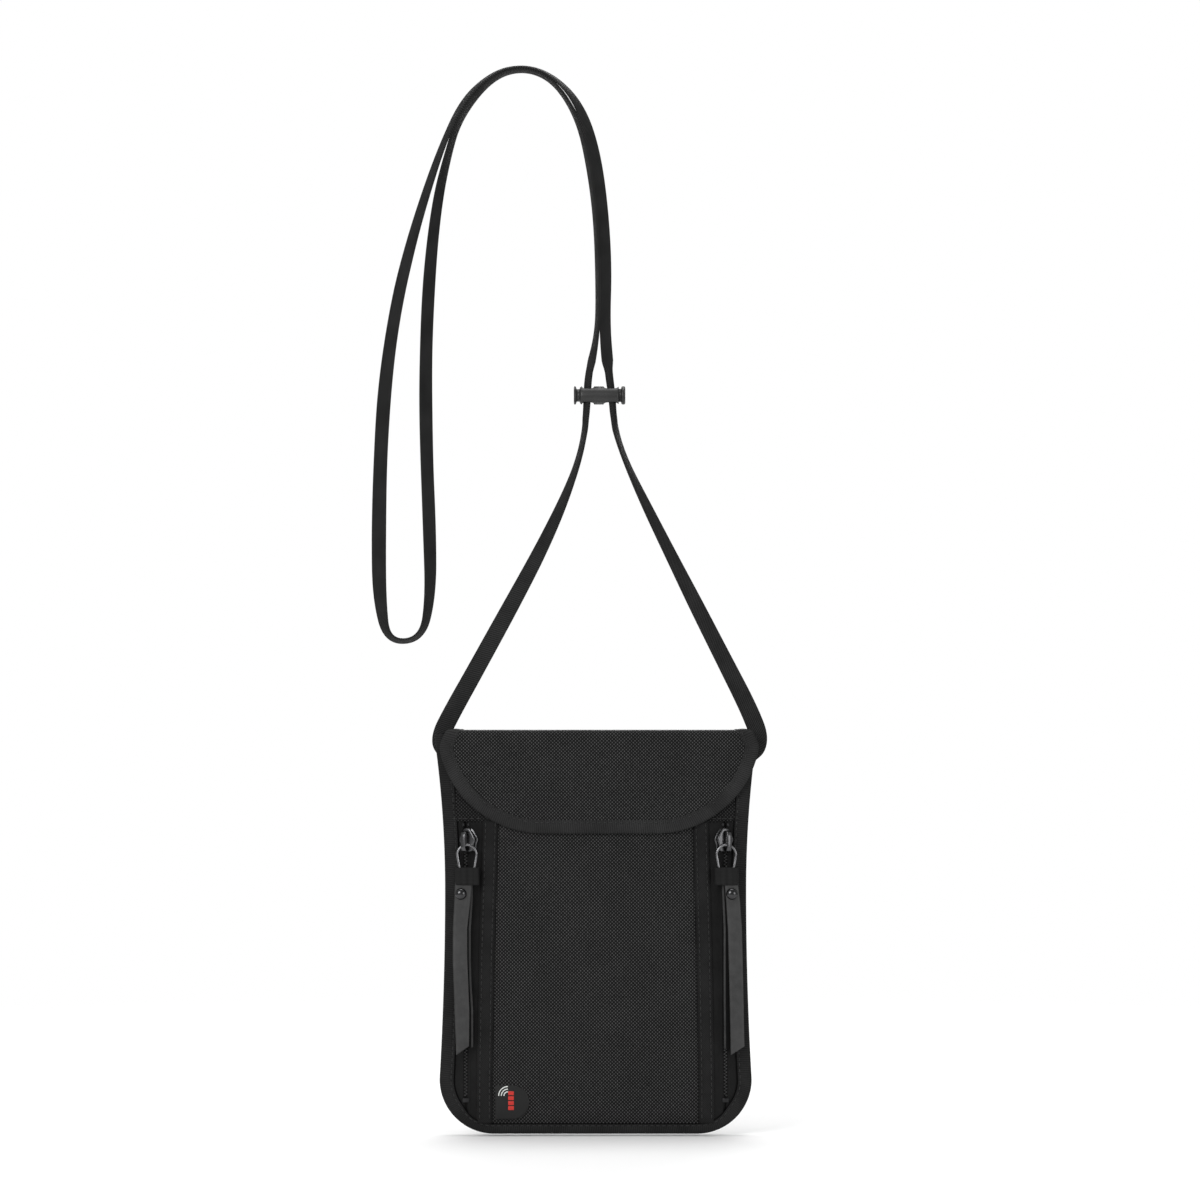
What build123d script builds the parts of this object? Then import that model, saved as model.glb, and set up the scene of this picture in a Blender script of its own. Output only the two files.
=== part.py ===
from build123d import *
import math
import os

# Neck pouch wallet: a flat fabric pouch with a zipped pocket down each front edge,
# a flap over the open top pocket, and one looped neck strap with a cord lock.
# Millimetres. Origin: the point where the doubled strap hangs. +Z is up, the front faces -Y.

# ---- Pouch outline ----
POUCH_X = 34.2            # middle of the pouch, to the side of the hanging point
TOP_Z = -303.0            # rim of the main pocket
BOTTOM_Z = -485.8
WAIST_Z = -374.0          # narrowest level
WAIST_HALF = 69.0
UPPER_SIDE_R = 500.0      # side curve above the waist
LOWER_SIDE_R = 1490.0     # side curve below the waist
CORNER_R = 25.0

# ---- Layers, from the back (+Y) to the front (-Y) ----
BACK_Y = 5.4              # rear face of the back panel
BACK_RISE = 0.45          # how far it stands up inside the binding
PANEL_T = 0.9
FRONT_Y = -5.0            # front face of the front panels
TAPE_T = 0.5
COIL_T = 1.1
DIVIDER_Y = -1.7          # rear face of the divider, which is the front wall of the main pocket
BELOW_RIM = 0.7           # the layers inside the rim's binding end this far down

# ---- Bindings ----
WALL = 0.95               # binding thickness round the edge
LIP = 6.5                 # how far a binding reaches over the panels
LIP_T = 0.35

# ---- Flap ----
HINGE_Z = -302.0
HINGE_BACK_Y = 4.6        # crease between back panel and flap fold
HINGE_FRONT_Y = -6.7      # crease between flap fold and flap
FOLD_T = 1.2
FOLD_HALF = 67.5
FLAP_TOP_Z = -303.0
FLAP_BOTTOM_Z = -348.1
FLAP_R = 48.0             # round lower corners of the flap
FLAP_FLAT_HALF = 26.0     # straight part of its lower edge
FLAP_FRONT_Y = -7.7
FLAP_REAR_Y = -5.9

# ---- Zips ----
ZIP_X = 59.4              # each zip's distance from the middle of the pouch
ZIP_TOP_Z = -345.0
ZIP_BOTTOM_Z = -469.0
COIL_W = 1.2
COIL_GAP = 1.1
SEAM_X = 46.2             # seam between centre panel and zip welt
WELT_EDGE_X = 54.0
SLIDER_TOP_Z = -345.3
SLIDER_H = 11.0
SLIDER_HALF = 4.1

# ---- Pull rings and leather tabs ----
RING_Y = -8.6
RING_TOP_Z = -353.1
RING_BOTTOM_Z = -362.5
RING_W = 8.5              # between the middles of the side wires
RING_WIRE_R = 0.55
TAB_W = 6.0
TAB_T = 0.9
TAB_LOOP_R = 0.65
TAB_TIP_Z = -449.6
RIVET_Z = -375.4

# ---- Strap and cord lock ----
STRAP_R = 1.6             # round section with the area of a webbing 8 wide and 1 thick
LOCK_Z = -147.4
LOCK_R = 4.2
LOCK_HOLE_R = 2.2
LOCK_LEFT_HOLE_X = 30.3
LOCK_RIGHT_HOLE_X = 41.7
ANCHOR_X = 71.5           # each sewn strap end's distance from the middle of the pouch

STRAP_ROUTE = [
    (-37.3, 7.6, -307.0), (-21.8, 7.2, -274.4), (1.6, 4.6, -232.0), (20.6, 1.6, -192.6),
    (30.3, 0.0, -167.0), (30.3, 0.0, -127.5), (35.6, 0.8, -104.5), (34.6, 1.9, -62.0),
    (28.6, 1.9, -27.0), (18.6, 1.9, -7.2), (6.0, 1.9, 2.2), (-6.0, 1.9, 2.2),
    (-18.2, 1.9, -5.4), (-29.2, 1.9, -20.6), (-37.0, 1.9, -44.0), (-41.7, 1.9, -80.7),
    (-44.1, 1.9, -126.5), (-43.4, 1.0, -177.0), (-41.9, 0.4, -218.2), (-41.9, 0.0, -243.9),
    (-45.6, 0.0, -260.2), (-62.4, 0.0, -260.2), (-65.0, 0.0, -243.9), (-66.0, 0.0, -214.0),
    (-64.9, -0.6, -172.7), (-61.9, -1.2, -133.4), (-55.0, -1.9, -95.8), (-44.5, -1.9, -56.9),
    (-33.4, -1.9, -26.4), (-22.5, -1.9, -8.0), (-8.4, -1.9, 2.6), (8.4, -1.9, 2.6),
    (24.1, -1.9, -9.2), (35.3, -1.9, -36.0), (39.4, -1.9, -76.0), (38.6, -0.8, -106.0),
    (41.7, 0.0, -129.0), (41.7, 0.0, -166.0), (53.4, 1.6, -191.8), (71.8, 4.6, -227.6),
    (91.6, 7.2, -266.4), (105.7, 7.6, -307.0),
]

os.makedirs("parts", exist_ok=True)


def save(name, shape):
    export_step(shape, f"parts/{name}.step")


def slab(face, y_rear, y_front):
    """Extrude a flat outline, drawn with X and Z, from one level of Y to another."""
    return extrude(Plane.XZ.offset(-y_rear) * face, amount=y_rear - y_front, dir=(0, -1, 0))


def block(x, y, z):
    """A box between pairs of X, Y and Z values, given in any order."""
    sizes = [abs(pair[1] - pair[0]) for pair in (x, y, z)]
    middle = [(pair[0] + pair[1]) / 2 for pair in (x, y, z)]
    return Pos(*middle) * Box(*sizes)


def rod_x(x, y, z, radius):
    """A cylinder along X between a pair of X values."""
    return Pos((x[0] + x[1]) / 2, y, z) * Rot(0, 90, 0) * Cylinder(radius, abs(x[1] - x[0]))


def rod_y(x, y, z, radius):
    """A cylinder along Y between a pair of Y values."""
    return Pos(x, (y[0] + y[1]) / 2, z) * Rot(90, 0, 0) * Cylinder(radius, abs(y[1] - y[0]))


def rod_z(x, y, z, radius):
    """A cylinder along Z between a pair of Z values."""
    return Pos(x, y, (z[0] + z[1]) / 2) * Cylinder(radius, abs(z[1] - z[0]))


def side_x(side, distance):
    """X of a point that lies a distance from the middle, on the left (-1) or right (+1)."""
    return POUCH_X + side * distance


def pouch_face(top_z=TOP_Z):
    """The pouch's outline: sides drawn in at the waist, round lower corners."""
    top_half = WAIST_HALF + (top_z - WAIST_Z) ** 2 / (2 * UPPER_SIDE_R)
    bottom_half = WAIST_HALF + (BOTTOM_Z - WAIST_Z) ** 2 / (2 * LOWER_SIDE_R)
    edges = []
    for side in (-1, 1):
        waist = (side_x(side, WAIST_HALF), WAIST_Z)
        edges.append(TangentArc(waist, (side_x(side, top_half), top_z), tangent=(0, 1)))
        edges.append(TangentArc(waist, (side_x(side, bottom_half), BOTTOM_Z), tangent=(0, -1)))
    edges.append(Line((side_x(-1, top_half), top_z), (side_x(1, top_half), top_z)))
    edges.append(Line((side_x(-1, bottom_half), BOTTOM_Z), (side_x(1, bottom_half), BOTTOM_Z)))
    face = make_face(edges)
    return fillet(face.vertices().group_by(Axis.Y)[0], CORNER_R)


def inner_face(inset, below_rim=0.0):
    """The pouch's outline inset at the sides and bottom, and lowered at the rim."""
    return offset(pouch_face(TOP_Z + inset - below_rim), -inset)


def flap_face():
    """The flap's outline: straight lower edge between two large quarter rounds."""
    shoulder_z = FLAP_BOTTOM_Z + FLAP_R
    half = FLAP_FLAT_HALF + FLAP_R
    over_top = shoulder_z + 2 * LIP
    edges = [Line((side_x(-1, half), over_top), (side_x(1, half), over_top))]
    edges.append(Line((side_x(-1, FLAP_FLAT_HALF), FLAP_BOTTOM_Z),
                      (side_x(1, FLAP_FLAT_HALF), FLAP_BOTTOM_Z)))
    for side in (-1, 1):
        low = (side_x(side, FLAP_FLAT_HALF), FLAP_BOTTOM_Z)
        shoulder = (side_x(side, half), shoulder_z)
        edges.append(TangentArc(low, shoulder, tangent=(side, 0)))
        edges.append(Line(shoulder, (side_x(side, half), over_top)))
    return make_face(edges)


def channel(face, y_rear, y_front, top_z):
    """A binding of U section round an outline, open above top_z."""
    whole = slab(face, y_rear, y_front)
    groove = slab(offset(face, -WALL), y_rear - LIP_T, y_front + LIP_T)
    window = slab(offset(face, -LIP), y_rear, y_front)
    above = block((-100, 200), (-30, 30), (top_z, top_z + 60))
    return whole - groove - window - above


def half_space(side, from_x, to_x, top_z, bottom_z):
    """A tall block on one side of the pouch, used to cut a strip out of a panel."""
    return block((side_x(side, from_x), side_x(side, to_x)), (-20, 20), (top_z, bottom_z))


# ---- Back, linings and divider ----
def make_back():
    panel = slab(inner_face(1.0), BACK_Y, BACK_Y - PANEL_T)
    panel += slab(inner_face(LIP + 0.15), BACK_Y + BACK_RISE, BACK_Y)
    save("back_panel", panel)
    save("rfid_shield", slab(inner_face(4.0), 4.3, 4.0))
    save("rear_lining", slab(inner_face(1.2), 3.8, 3.5))
    save("pocket_divider", slab(inner_face(1.2, BELOW_RIM), DIVIDER_Y, DIVIDER_Y - 0.4))


# ---- Front panels and welts ----
def make_front():
    front = slab(inner_face(1.0, BELOW_RIM), FRONT_Y + PANEL_T, FRONT_Y)
    middle = block((side_x(-1, SEAM_X), side_x(1, SEAM_X)), (-20, 20), (BOTTOM_Z - 1, TOP_Z + 1))
    save("front_center_panel", front & middle)
    for side, name in ((-1, "left"), (1, "right")):
        upper = half_space(side, SEAM_X + 0.1, 80, TOP_Z - 0.1, ZIP_TOP_Z + 2.2)
        save(f"{name}_upper_side_panel", front & upper)
        welt = block((side_x(side, SEAM_X + 0.1), side_x(side, WELT_EDGE_X)),
                     (FRONT_Y - 0.05, FRONT_Y - 0.65), (ZIP_TOP_Z + 2.0, BOTTOM_Z + LIP + 1.8))
        save(f"{name}_zip_welt", welt)


# ---- Zip tapes, coils and stops ----
def make_zips():
    tape = slab(inner_face(1.0), FRONT_Y + TAPE_T, FRONT_Y)
    coil_y = (FRONT_Y, FRONT_Y - COIL_T)
    for side, name in ((-1, "left"), (1, "right")):
        inner_edge = ZIP_X - COIL_GAP / 2
        outer_edge = ZIP_X + COIL_GAP / 2
        inner = half_space(side, SEAM_X + 0.1, inner_edge, ZIP_TOP_Z + 2.0, BOTTOM_Z)
        outer = half_space(side, outer_edge, 80, ZIP_TOP_Z + 2.0, BOTTOM_Z)
        save(f"{name}_zip_tape_inner", tape & inner)
        save(f"{name}_zip_tape_outer", tape & outer)
        rows = {"inner": (inner_edge - COIL_W, inner_edge), "outer": (outer_edge, outer_edge + COIL_W)}
        stops = []
        for row, (near, far) in rows.items():
            x = (side_x(side, near), side_x(side, far))
            save(f"{name}_zip_coil_{row}", block(x, coil_y, (ZIP_TOP_Z, ZIP_BOTTOM_Z)))
            stops.append(block(x, coil_y, (ZIP_TOP_Z + 0.1, ZIP_TOP_Z + 1.8)))
        save(f"{name}_zip_top_stops", Compound(children=stops))
        stop_x = (side_x(side, inner_edge - COIL_W), side_x(side, outer_edge + COIL_W))
        save(f"{name}_zip_bottom_stop", block(stop_x, coil_y, (ZIP_BOTTOM_Z - 0.1, ZIP_BOTTOM_Z - 2.1)))


# ---- Bindings ----
def make_bindings():
    tall = pouch_face(TOP_Z + 2 * LIP)
    save("edge_binding", channel(tall, BACK_Y + 0.4, FRONT_Y - 0.4, TOP_Z))
    rim_z = (TOP_Z, TOP_Z - 5.5)
    rim_x = (side_x(-1, 62), side_x(1, 62))
    rim = block(rim_x, (FRONT_Y - 0.45, DIVIDER_Y + 0.4), rim_z)
    rim -= block(rim_x, (FRONT_Y - 0.05, DIVIDER_Y + 0.05), (TOP_Z - 0.6, TOP_Z - 8))
    save("mouth_binding", rim)


# ---- Flap, its fold, and the hidden closure strips ----
def make_flap():
    fold_x = (side_x(-1, FOLD_HALF), side_x(1, FOLD_HALF))
    fold = block(fold_x, (HINGE_BACK_Y, HINGE_FRONT_Y), (HINGE_Z - FOLD_T / 2, HINGE_Z + FOLD_T / 2))
    for crease_y in (HINGE_BACK_Y, HINGE_FRONT_Y):
        fold += rod_x(fold_x, crease_y, HINGE_Z, FOLD_T / 2)
    save("flap_fold", fold)
    above = block((-100, 200), (-30, 30), (FLAP_TOP_Z, FLAP_TOP_Z + 60))
    panel = offset(flap_face(), -1.0)
    save("flap_lining", slab(panel, FLAP_REAR_Y - 0.4, FLAP_REAR_Y - 0.7) - above)
    save("flap_outer", slab(panel, FLAP_REAR_Y - 0.75, FLAP_FRONT_Y + 0.4) - above)
    save("flap_binding", channel(flap_face(), FLAP_REAR_Y, FLAP_FRONT_Y, FLAP_TOP_Z))
    strip_x = (side_x(-1, 25), side_x(1, 25))
    strip_z = (-322, -338)
    save("closure_hook_strip", block(strip_x, (-6.3, -6.0), strip_z))
    save("closure_loop_strip", block(strip_x, (FRONT_Y, FRONT_Y - 0.6), strip_z))


# ---- Zip sliders, rings and leather tabs ----
def make_sliders():
    chain_y = FRONT_Y - COIL_T
    plate_front = (chain_y - 0.3, chain_y - 1.4)
    plate_rear = (FRONT_Y + TAPE_T + 0.3, FRONT_Y + TAPE_T + 1.1)
    bottom_z = SLIDER_TOP_Z - SLIDER_H
    for side, name in ((-1, "left"), (1, "right")):
        x = side_x(side, ZIP_X)
        outline = Polygon(
            (x - 2.6, SLIDER_TOP_Z), (x + 2.6, SLIDER_TOP_Z),
            (x + SLIDER_HALF, SLIDER_TOP_Z - 4), (x + 3.4, bottom_z),
            (x - 3.4, bottom_z), (x - SLIDER_HALF, SLIDER_TOP_Z - 4), align=None)
        outline = fillet(outline.vertices(), 0.8)
        body = slab(outline, *plate_front) + slab(outline, plate_rear[1], plate_rear[0])
        body += block((x - 0.25, x + 0.25), (plate_rear[0], plate_front[0]),
                      (SLIDER_TOP_Z - 0.5, SLIDER_TOP_Z - 4.5))
        save(f"{name}_slider_body", body)
        crown = block((x - 1.2, x + 1.2), (plate_front[1], RING_Y - 1.4), (-347.0, -356.0))
        crown -= block((x - 2, x + 2), (plate_front[1], RING_Y - 0.75), (-349.2, -354.9))
        save(f"{name}_slider_crown", crown)
        make_pull(x, name)


def make_pull(x, name):
    ring_h = RING_TOP_Z - RING_BOTTOM_Z
    ring_plane = Plane.XZ.offset(-RING_Y)
    loop = ring_plane * Pos(x, RING_BOTTOM_Z + ring_h / 2) * RectangleRounded(RING_W, ring_h, 1.2)
    path = loop.wire()
    wire = sweep(Plane(origin=path @ 0, z_dir=path % 0) * Circle(RING_WIRE_R), path=path)
    save(f"{name}_pull_ring", wire)

    tab_x = (x - TAB_W / 2, x + TAB_W / 2)
    outer_r = TAB_LOOP_R + TAB_T
    tab = rod_x(tab_x, RING_Y, RING_BOTTOM_Z, outer_r)
    tab += block(tab_x, (RING_Y - outer_r, RING_Y + outer_r), (RING_BOTTOM_Z, TAB_TIP_Z))
    tab -= rod_x(tab_x, RING_Y, RING_BOTTOM_Z, TAB_LOOP_R)
    tab -= block(tab_x, (RING_Y - TAB_LOOP_R, RING_Y + TAB_LOOP_R), (RING_BOTTOM_Z, TAB_TIP_Z))
    tab -= rod_y(x, (RING_Y - 3, RING_Y + 3), RIVET_Z, 1.0)
    tab -= Pos(x + 3, RING_Y, TAB_TIP_Z) * Rot(0, 45, 0) * Box(5, 8, 5)
    save(f"{name}_leather_tab", tab)

    keeper_z = (RING_BOTTOM_Z - 1.2, RING_BOTTOM_Z - 9.8)
    keeper = block((x - 4.6, x + 4.6), (RING_Y - outer_r - 0.5, RING_Y + outer_r + 0.5), keeper_z)
    keeper -= block((x - 3.1, x + 3.1), (RING_Y - outer_r - 0.05, RING_Y + outer_r + 0.05), keeper_z)
    save(f"{name}_tab_keeper", keeper)

    rivet = rod_y(x, (RING_Y - outer_r - 0.8, RING_Y - outer_r), RIVET_Z, 2.4)
    rivet += rod_y(x, (RING_Y - outer_r - 0.1, RING_Y + outer_r + 0.1), RIVET_Z, 0.95)
    rivet += rod_y(x, (RING_Y + outer_r, RING_Y + outer_r + 0.35), RIVET_Z, 1.9)
    save(f"{name}_tab_rivet", rivet)


# ---- Badge: patch, three quarter arcs and a plain bar ----
def make_badge():
    left = side_x(-1, SEAM_X - 0.2)
    top_z = -463.1
    bottom_z = -478.8
    y = FRONT_Y - 0.05
    patch = block((left, left + 8), (y, y - 0.5), (top_z, bottom_z))
    patch += rod_y(left + 7.85, (y, y - 0.5), (top_z + bottom_z) / 2, (top_z - bottom_z) / 2)
    save("badge_patch", patch)
    arcs = []
    arc_x = left + 6.3
    arc_z = -468.4
    for radius in (2.2, 3.4, 4.6):
        ring = rod_y(arc_x, (y - 0.5, y - 0.7), arc_z, radius)
        ring -= rod_y(arc_x, (y - 0.5, y - 0.7), arc_z, radius - 0.75)
        arcs.append(ring & block((arc_x - 9, arc_x), (-9, 0), (arc_z, arc_z + 9)))
    save("badge_arcs", Compound(children=arcs))
    save("badge_bar", block((left + 6.9, left + 9.3), (y - 0.5, y - 0.7), (-467.2, -475.8)))


# ---- Strap ----
def corner_radius(before, corner, after):
    """As large as the two runs at a corner allow."""
    run_in = Vector(*corner) - Vector(*before)
    run_out = Vector(*after) - Vector(*corner)
    half_turn = math.radians(run_in.get_angle(run_out)) / 2
    return 0.45 * min(run_in.length, run_out.length) / math.tan(half_turn)


def make_strap():
    radii = [corner_radius(*STRAP_ROUTE[i - 1:i + 2]) for i in range(1, len(STRAP_ROUTE) - 1)]
    path = FilletPolyline(*STRAP_ROUTE, radius=radii)
    section = Plane(origin=path @ 0, z_dir=path % 0) * Circle(STRAP_R)
    strap = sweep(section, path=path)
    print("strap radii:", " ".join(f"{r:.0f}" for r in radii))
    print(f"strap length {path.length:.0f}, volume {strap.volume:.0f},",
          f"section x length {math.pi * STRAP_R ** 2 * path.length:.0f}")
    save("neck_strap", strap)
    for side, name in ((-1, "left"), (1, "right")):
        x = side_x(side, ANCHOR_X)
        anchor = block((x - 4, x + 4), (BACK_Y + BACK_RISE, BACK_Y + 3.2), (-306.0, -316.0))
        save(f"{name}_strap_anchor", anchor)


# ---- Cord lock on the strap ----
def make_cord_lock():
    sleeve = rod_x((27.1, 44.8), 0, LOCK_Z, LOCK_R)
    sleeve += rod_x((25.4, 27.2), 0, LOCK_Z, 3.2)
    sleeve += rod_x((24.2, 25.8), 0, LOCK_Z, LOCK_R)
    sleeve -= rod_x((33.4, 44.8), 0, LOCK_Z, 3.1)
    for hole_x in (LOCK_LEFT_HOLE_X, LOCK_RIGHT_HOLE_X):
        sleeve -= rod_z(hole_x, 0, (LOCK_Z - 6, LOCK_Z + 6), LOCK_HOLE_R)
    save("lock_sleeve", sleeve)
    plunger = rod_x((38.4, 46.0), 0, LOCK_Z, 3.03) + rod_x((45.9, 47.8), 0, LOCK_Z, LOCK_R)
    slot_x = (LOCK_RIGHT_HOLE_X - LOCK_HOLE_R, LOCK_RIGHT_HOLE_X + LOCK_HOLE_R + 0.9)
    plunger -= block(slot_x, (-LOCK_HOLE_R, LOCK_HOLE_R), (LOCK_Z - 6, LOCK_Z + 6))
    save("lock_plunger", plunger)
    spring = rod_x((33.5, 37.3), 0, LOCK_Z, 2.8) - rod_x((33.5, 37.3), 0, LOCK_Z, 2.2)
    save("lock_spring", spring)


make_back()
make_front()
make_zips()
make_bindings()
make_flap()
make_sliders()
make_badge()
make_strap()
make_cord_lock()
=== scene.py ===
import math

import bmesh
import bpy
import numpy as np
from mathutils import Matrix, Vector


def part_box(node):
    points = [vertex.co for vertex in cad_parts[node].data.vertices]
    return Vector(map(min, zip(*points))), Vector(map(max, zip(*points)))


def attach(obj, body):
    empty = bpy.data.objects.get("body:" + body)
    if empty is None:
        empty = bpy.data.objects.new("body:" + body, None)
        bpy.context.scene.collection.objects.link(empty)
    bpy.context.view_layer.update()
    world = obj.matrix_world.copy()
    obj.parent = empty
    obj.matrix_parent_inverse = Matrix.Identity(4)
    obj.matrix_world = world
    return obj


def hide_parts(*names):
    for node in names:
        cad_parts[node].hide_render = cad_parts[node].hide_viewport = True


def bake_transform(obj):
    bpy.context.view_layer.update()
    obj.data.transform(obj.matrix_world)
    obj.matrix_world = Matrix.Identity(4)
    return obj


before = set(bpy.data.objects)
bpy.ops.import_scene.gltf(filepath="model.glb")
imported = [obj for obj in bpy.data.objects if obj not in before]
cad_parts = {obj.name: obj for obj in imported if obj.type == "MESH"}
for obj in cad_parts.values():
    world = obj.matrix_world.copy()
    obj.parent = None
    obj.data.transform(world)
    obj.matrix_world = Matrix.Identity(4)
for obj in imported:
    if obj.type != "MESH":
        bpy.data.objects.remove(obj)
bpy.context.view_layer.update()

# Neck pouch wallet. Lengths in this script are millimetres in the row frame unless a comment says
# otherwise: +Z up, the front faces -Y, and the origin is the point where the doubled strap hangs.
MM = 0.001
SIDES = ((-1, "left"), (1, "right"))


def box_of(node):
    """The low and high corners of a CAD node, in millimetres."""
    return tuple(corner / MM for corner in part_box(node))


# ---- Sizes of the pouch ----
panel_low, panel_high = box_of("edge_binding")
CX = (panel_low.x + panel_high.x) / 2
BOTTOM_Z = panel_low.z
TOP_Z = -303.0
WAIST_Z = -374.0          # where the sides are drawn in most
WAIST_HALF = 69.0
UPPER_SIDE_R = 500.0
LOWER_SIDE_R = 1490.0
CORNER_R = 25.0
FRONT_Y = -5.0
BACK_Y = 5.5
PINCH_W = 10.0            # how far in from the bound edge the front is pinched
EDGE_Y = 2.5              # half the thickness at the bound edge
ZIP_X = 59.4              # the chain's distance from the pouch's middle
CHAIN_TOP_Z = -345.0
CHAIN_BOTTOM_Z = -469.0
ZIP_WINDOW_TOP_Z = -343.0
CLOTH_T = 0.7
SEAM_GAP = 0.5            # how far the centre panel reaches over its seam
STITCH_PITCH = 2.7

# ---- Camera, lights, floor: places and sizes in metres ----
CAMERA_PLACE = (0.0362, -2.5, -0.2412)
LENS = 163.6
SENSOR_WIDTH = 36.0
ROOM_STRENGTH = 0.42
LAMPS = (
    # name, place, size, power in watts
    ("key_light", (-0.75, -1.3, 0.25), 0.9, 14.0),
    ("fill_light", (1.15, -1.2, -0.1), 0.9, 7.0),
    ("top_light", (0.03, 0.1, 0.75), 0.8, 9.0),
    ("back_light", (0.1, 1.5, 0.1), 1.2, 12.0),
)
LAMP_AIM = Vector((CX, 0, -370)) * MM
FLOOR_R = 0.95
FLOOR_FADE = (0.35, 0.9)
FLOOR_DROP = 0.8 * MM


def make_camera():
    data = bpy.data.cameras.new("camera")
    data.sensor_width = SENSOR_WIDTH
    data.lens = LENS
    data.clip_end = 20.0
    camera = bpy.data.objects.new("camera", data)
    camera.location = CAMERA_PLACE
    camera.rotation_euler = (math.radians(90), 0, 0)
    scene = bpy.context.scene
    scene.collection.objects.link(camera)
    scene.camera = camera
    scene.view_settings.view_transform = "Standard"


def make_world():
    """White behind the object, and a dimmer white room for light and reflections."""
    world = bpy.data.worlds.new("studio")
    world.use_nodes = True
    bpy.context.scene.world = world
    tree = world.node_tree
    tree.nodes.clear()
    out = tree.nodes.new("ShaderNodeOutputWorld")
    mix = tree.nodes.new("ShaderNodeMixShader")
    path = tree.nodes.new("ShaderNodeLightPath")
    tree.links.new(path.outputs["Is Camera Ray"], mix.inputs[0])
    for socket, strength in ((mix.inputs[1], ROOM_STRENGTH), (mix.inputs[2], 1.0)):
        white = tree.nodes.new("ShaderNodeBackground")
        white.inputs["Color"].default_value = (1, 1, 1, 1)
        white.inputs["Strength"].default_value = strength
        tree.links.new(white.outputs[0], socket)
    tree.links.new(mix.outputs[0], out.inputs[0])


def make_lamps():
    for name, place, size, power in LAMPS:
        lamp = bpy.data.lights.new(name, "AREA")
        lamp.shape = "DISK"
        lamp.size = size
        lamp.energy = power
        o = bpy.data.objects.new(name, lamp)
        o.location = place
        o.rotation_euler = (LAMP_AIM - Vector(place)).to_track_quat("-Z", "Y").to_euler()
        bpy.context.scene.collection.objects.link(o)


def make_floor():
    """A pale disc that fades out towards its rim."""
    mesh = bpy.data.meshes.new("floor")
    bm = bmesh.new()
    bmesh.ops.create_circle(bm, cap_ends=True, cap_tris=True, segments=96, radius=FLOOR_R)
    bm.to_mesh(mesh)
    bm.free()
    floor = bpy.data.objects.new("floor", mesh)
    floor.location = (CX * MM, 0.0, BOTTOM_Z * MM - FLOOR_DROP)
    bpy.context.scene.collection.objects.link(floor)
    m = Nodes("pale_floor", grey(0.86), 0.9, Specular_IOR_Level=0.1)
    distance = m.put("VectorMath", operation="LENGTH")
    m.link(m.place(), distance.inputs[0])
    fade = m.span(distance.outputs["Value"], *FLOOR_FADE, 1.0, 0.0, smooth=True)
    m.link(fade, m.shader.inputs["Alpha"])
    mesh.materials.append(m.material)


# ---- Materials: greys are linear reflectances, lengths are millimetres ----
MID = (0.3, 0.7)          # the middle of a noise texture's range
NARROW = (0.35, 0.65)
STRIP_MAP_HALF = 3.0          # half width of a leather strip on its cloth map


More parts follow.
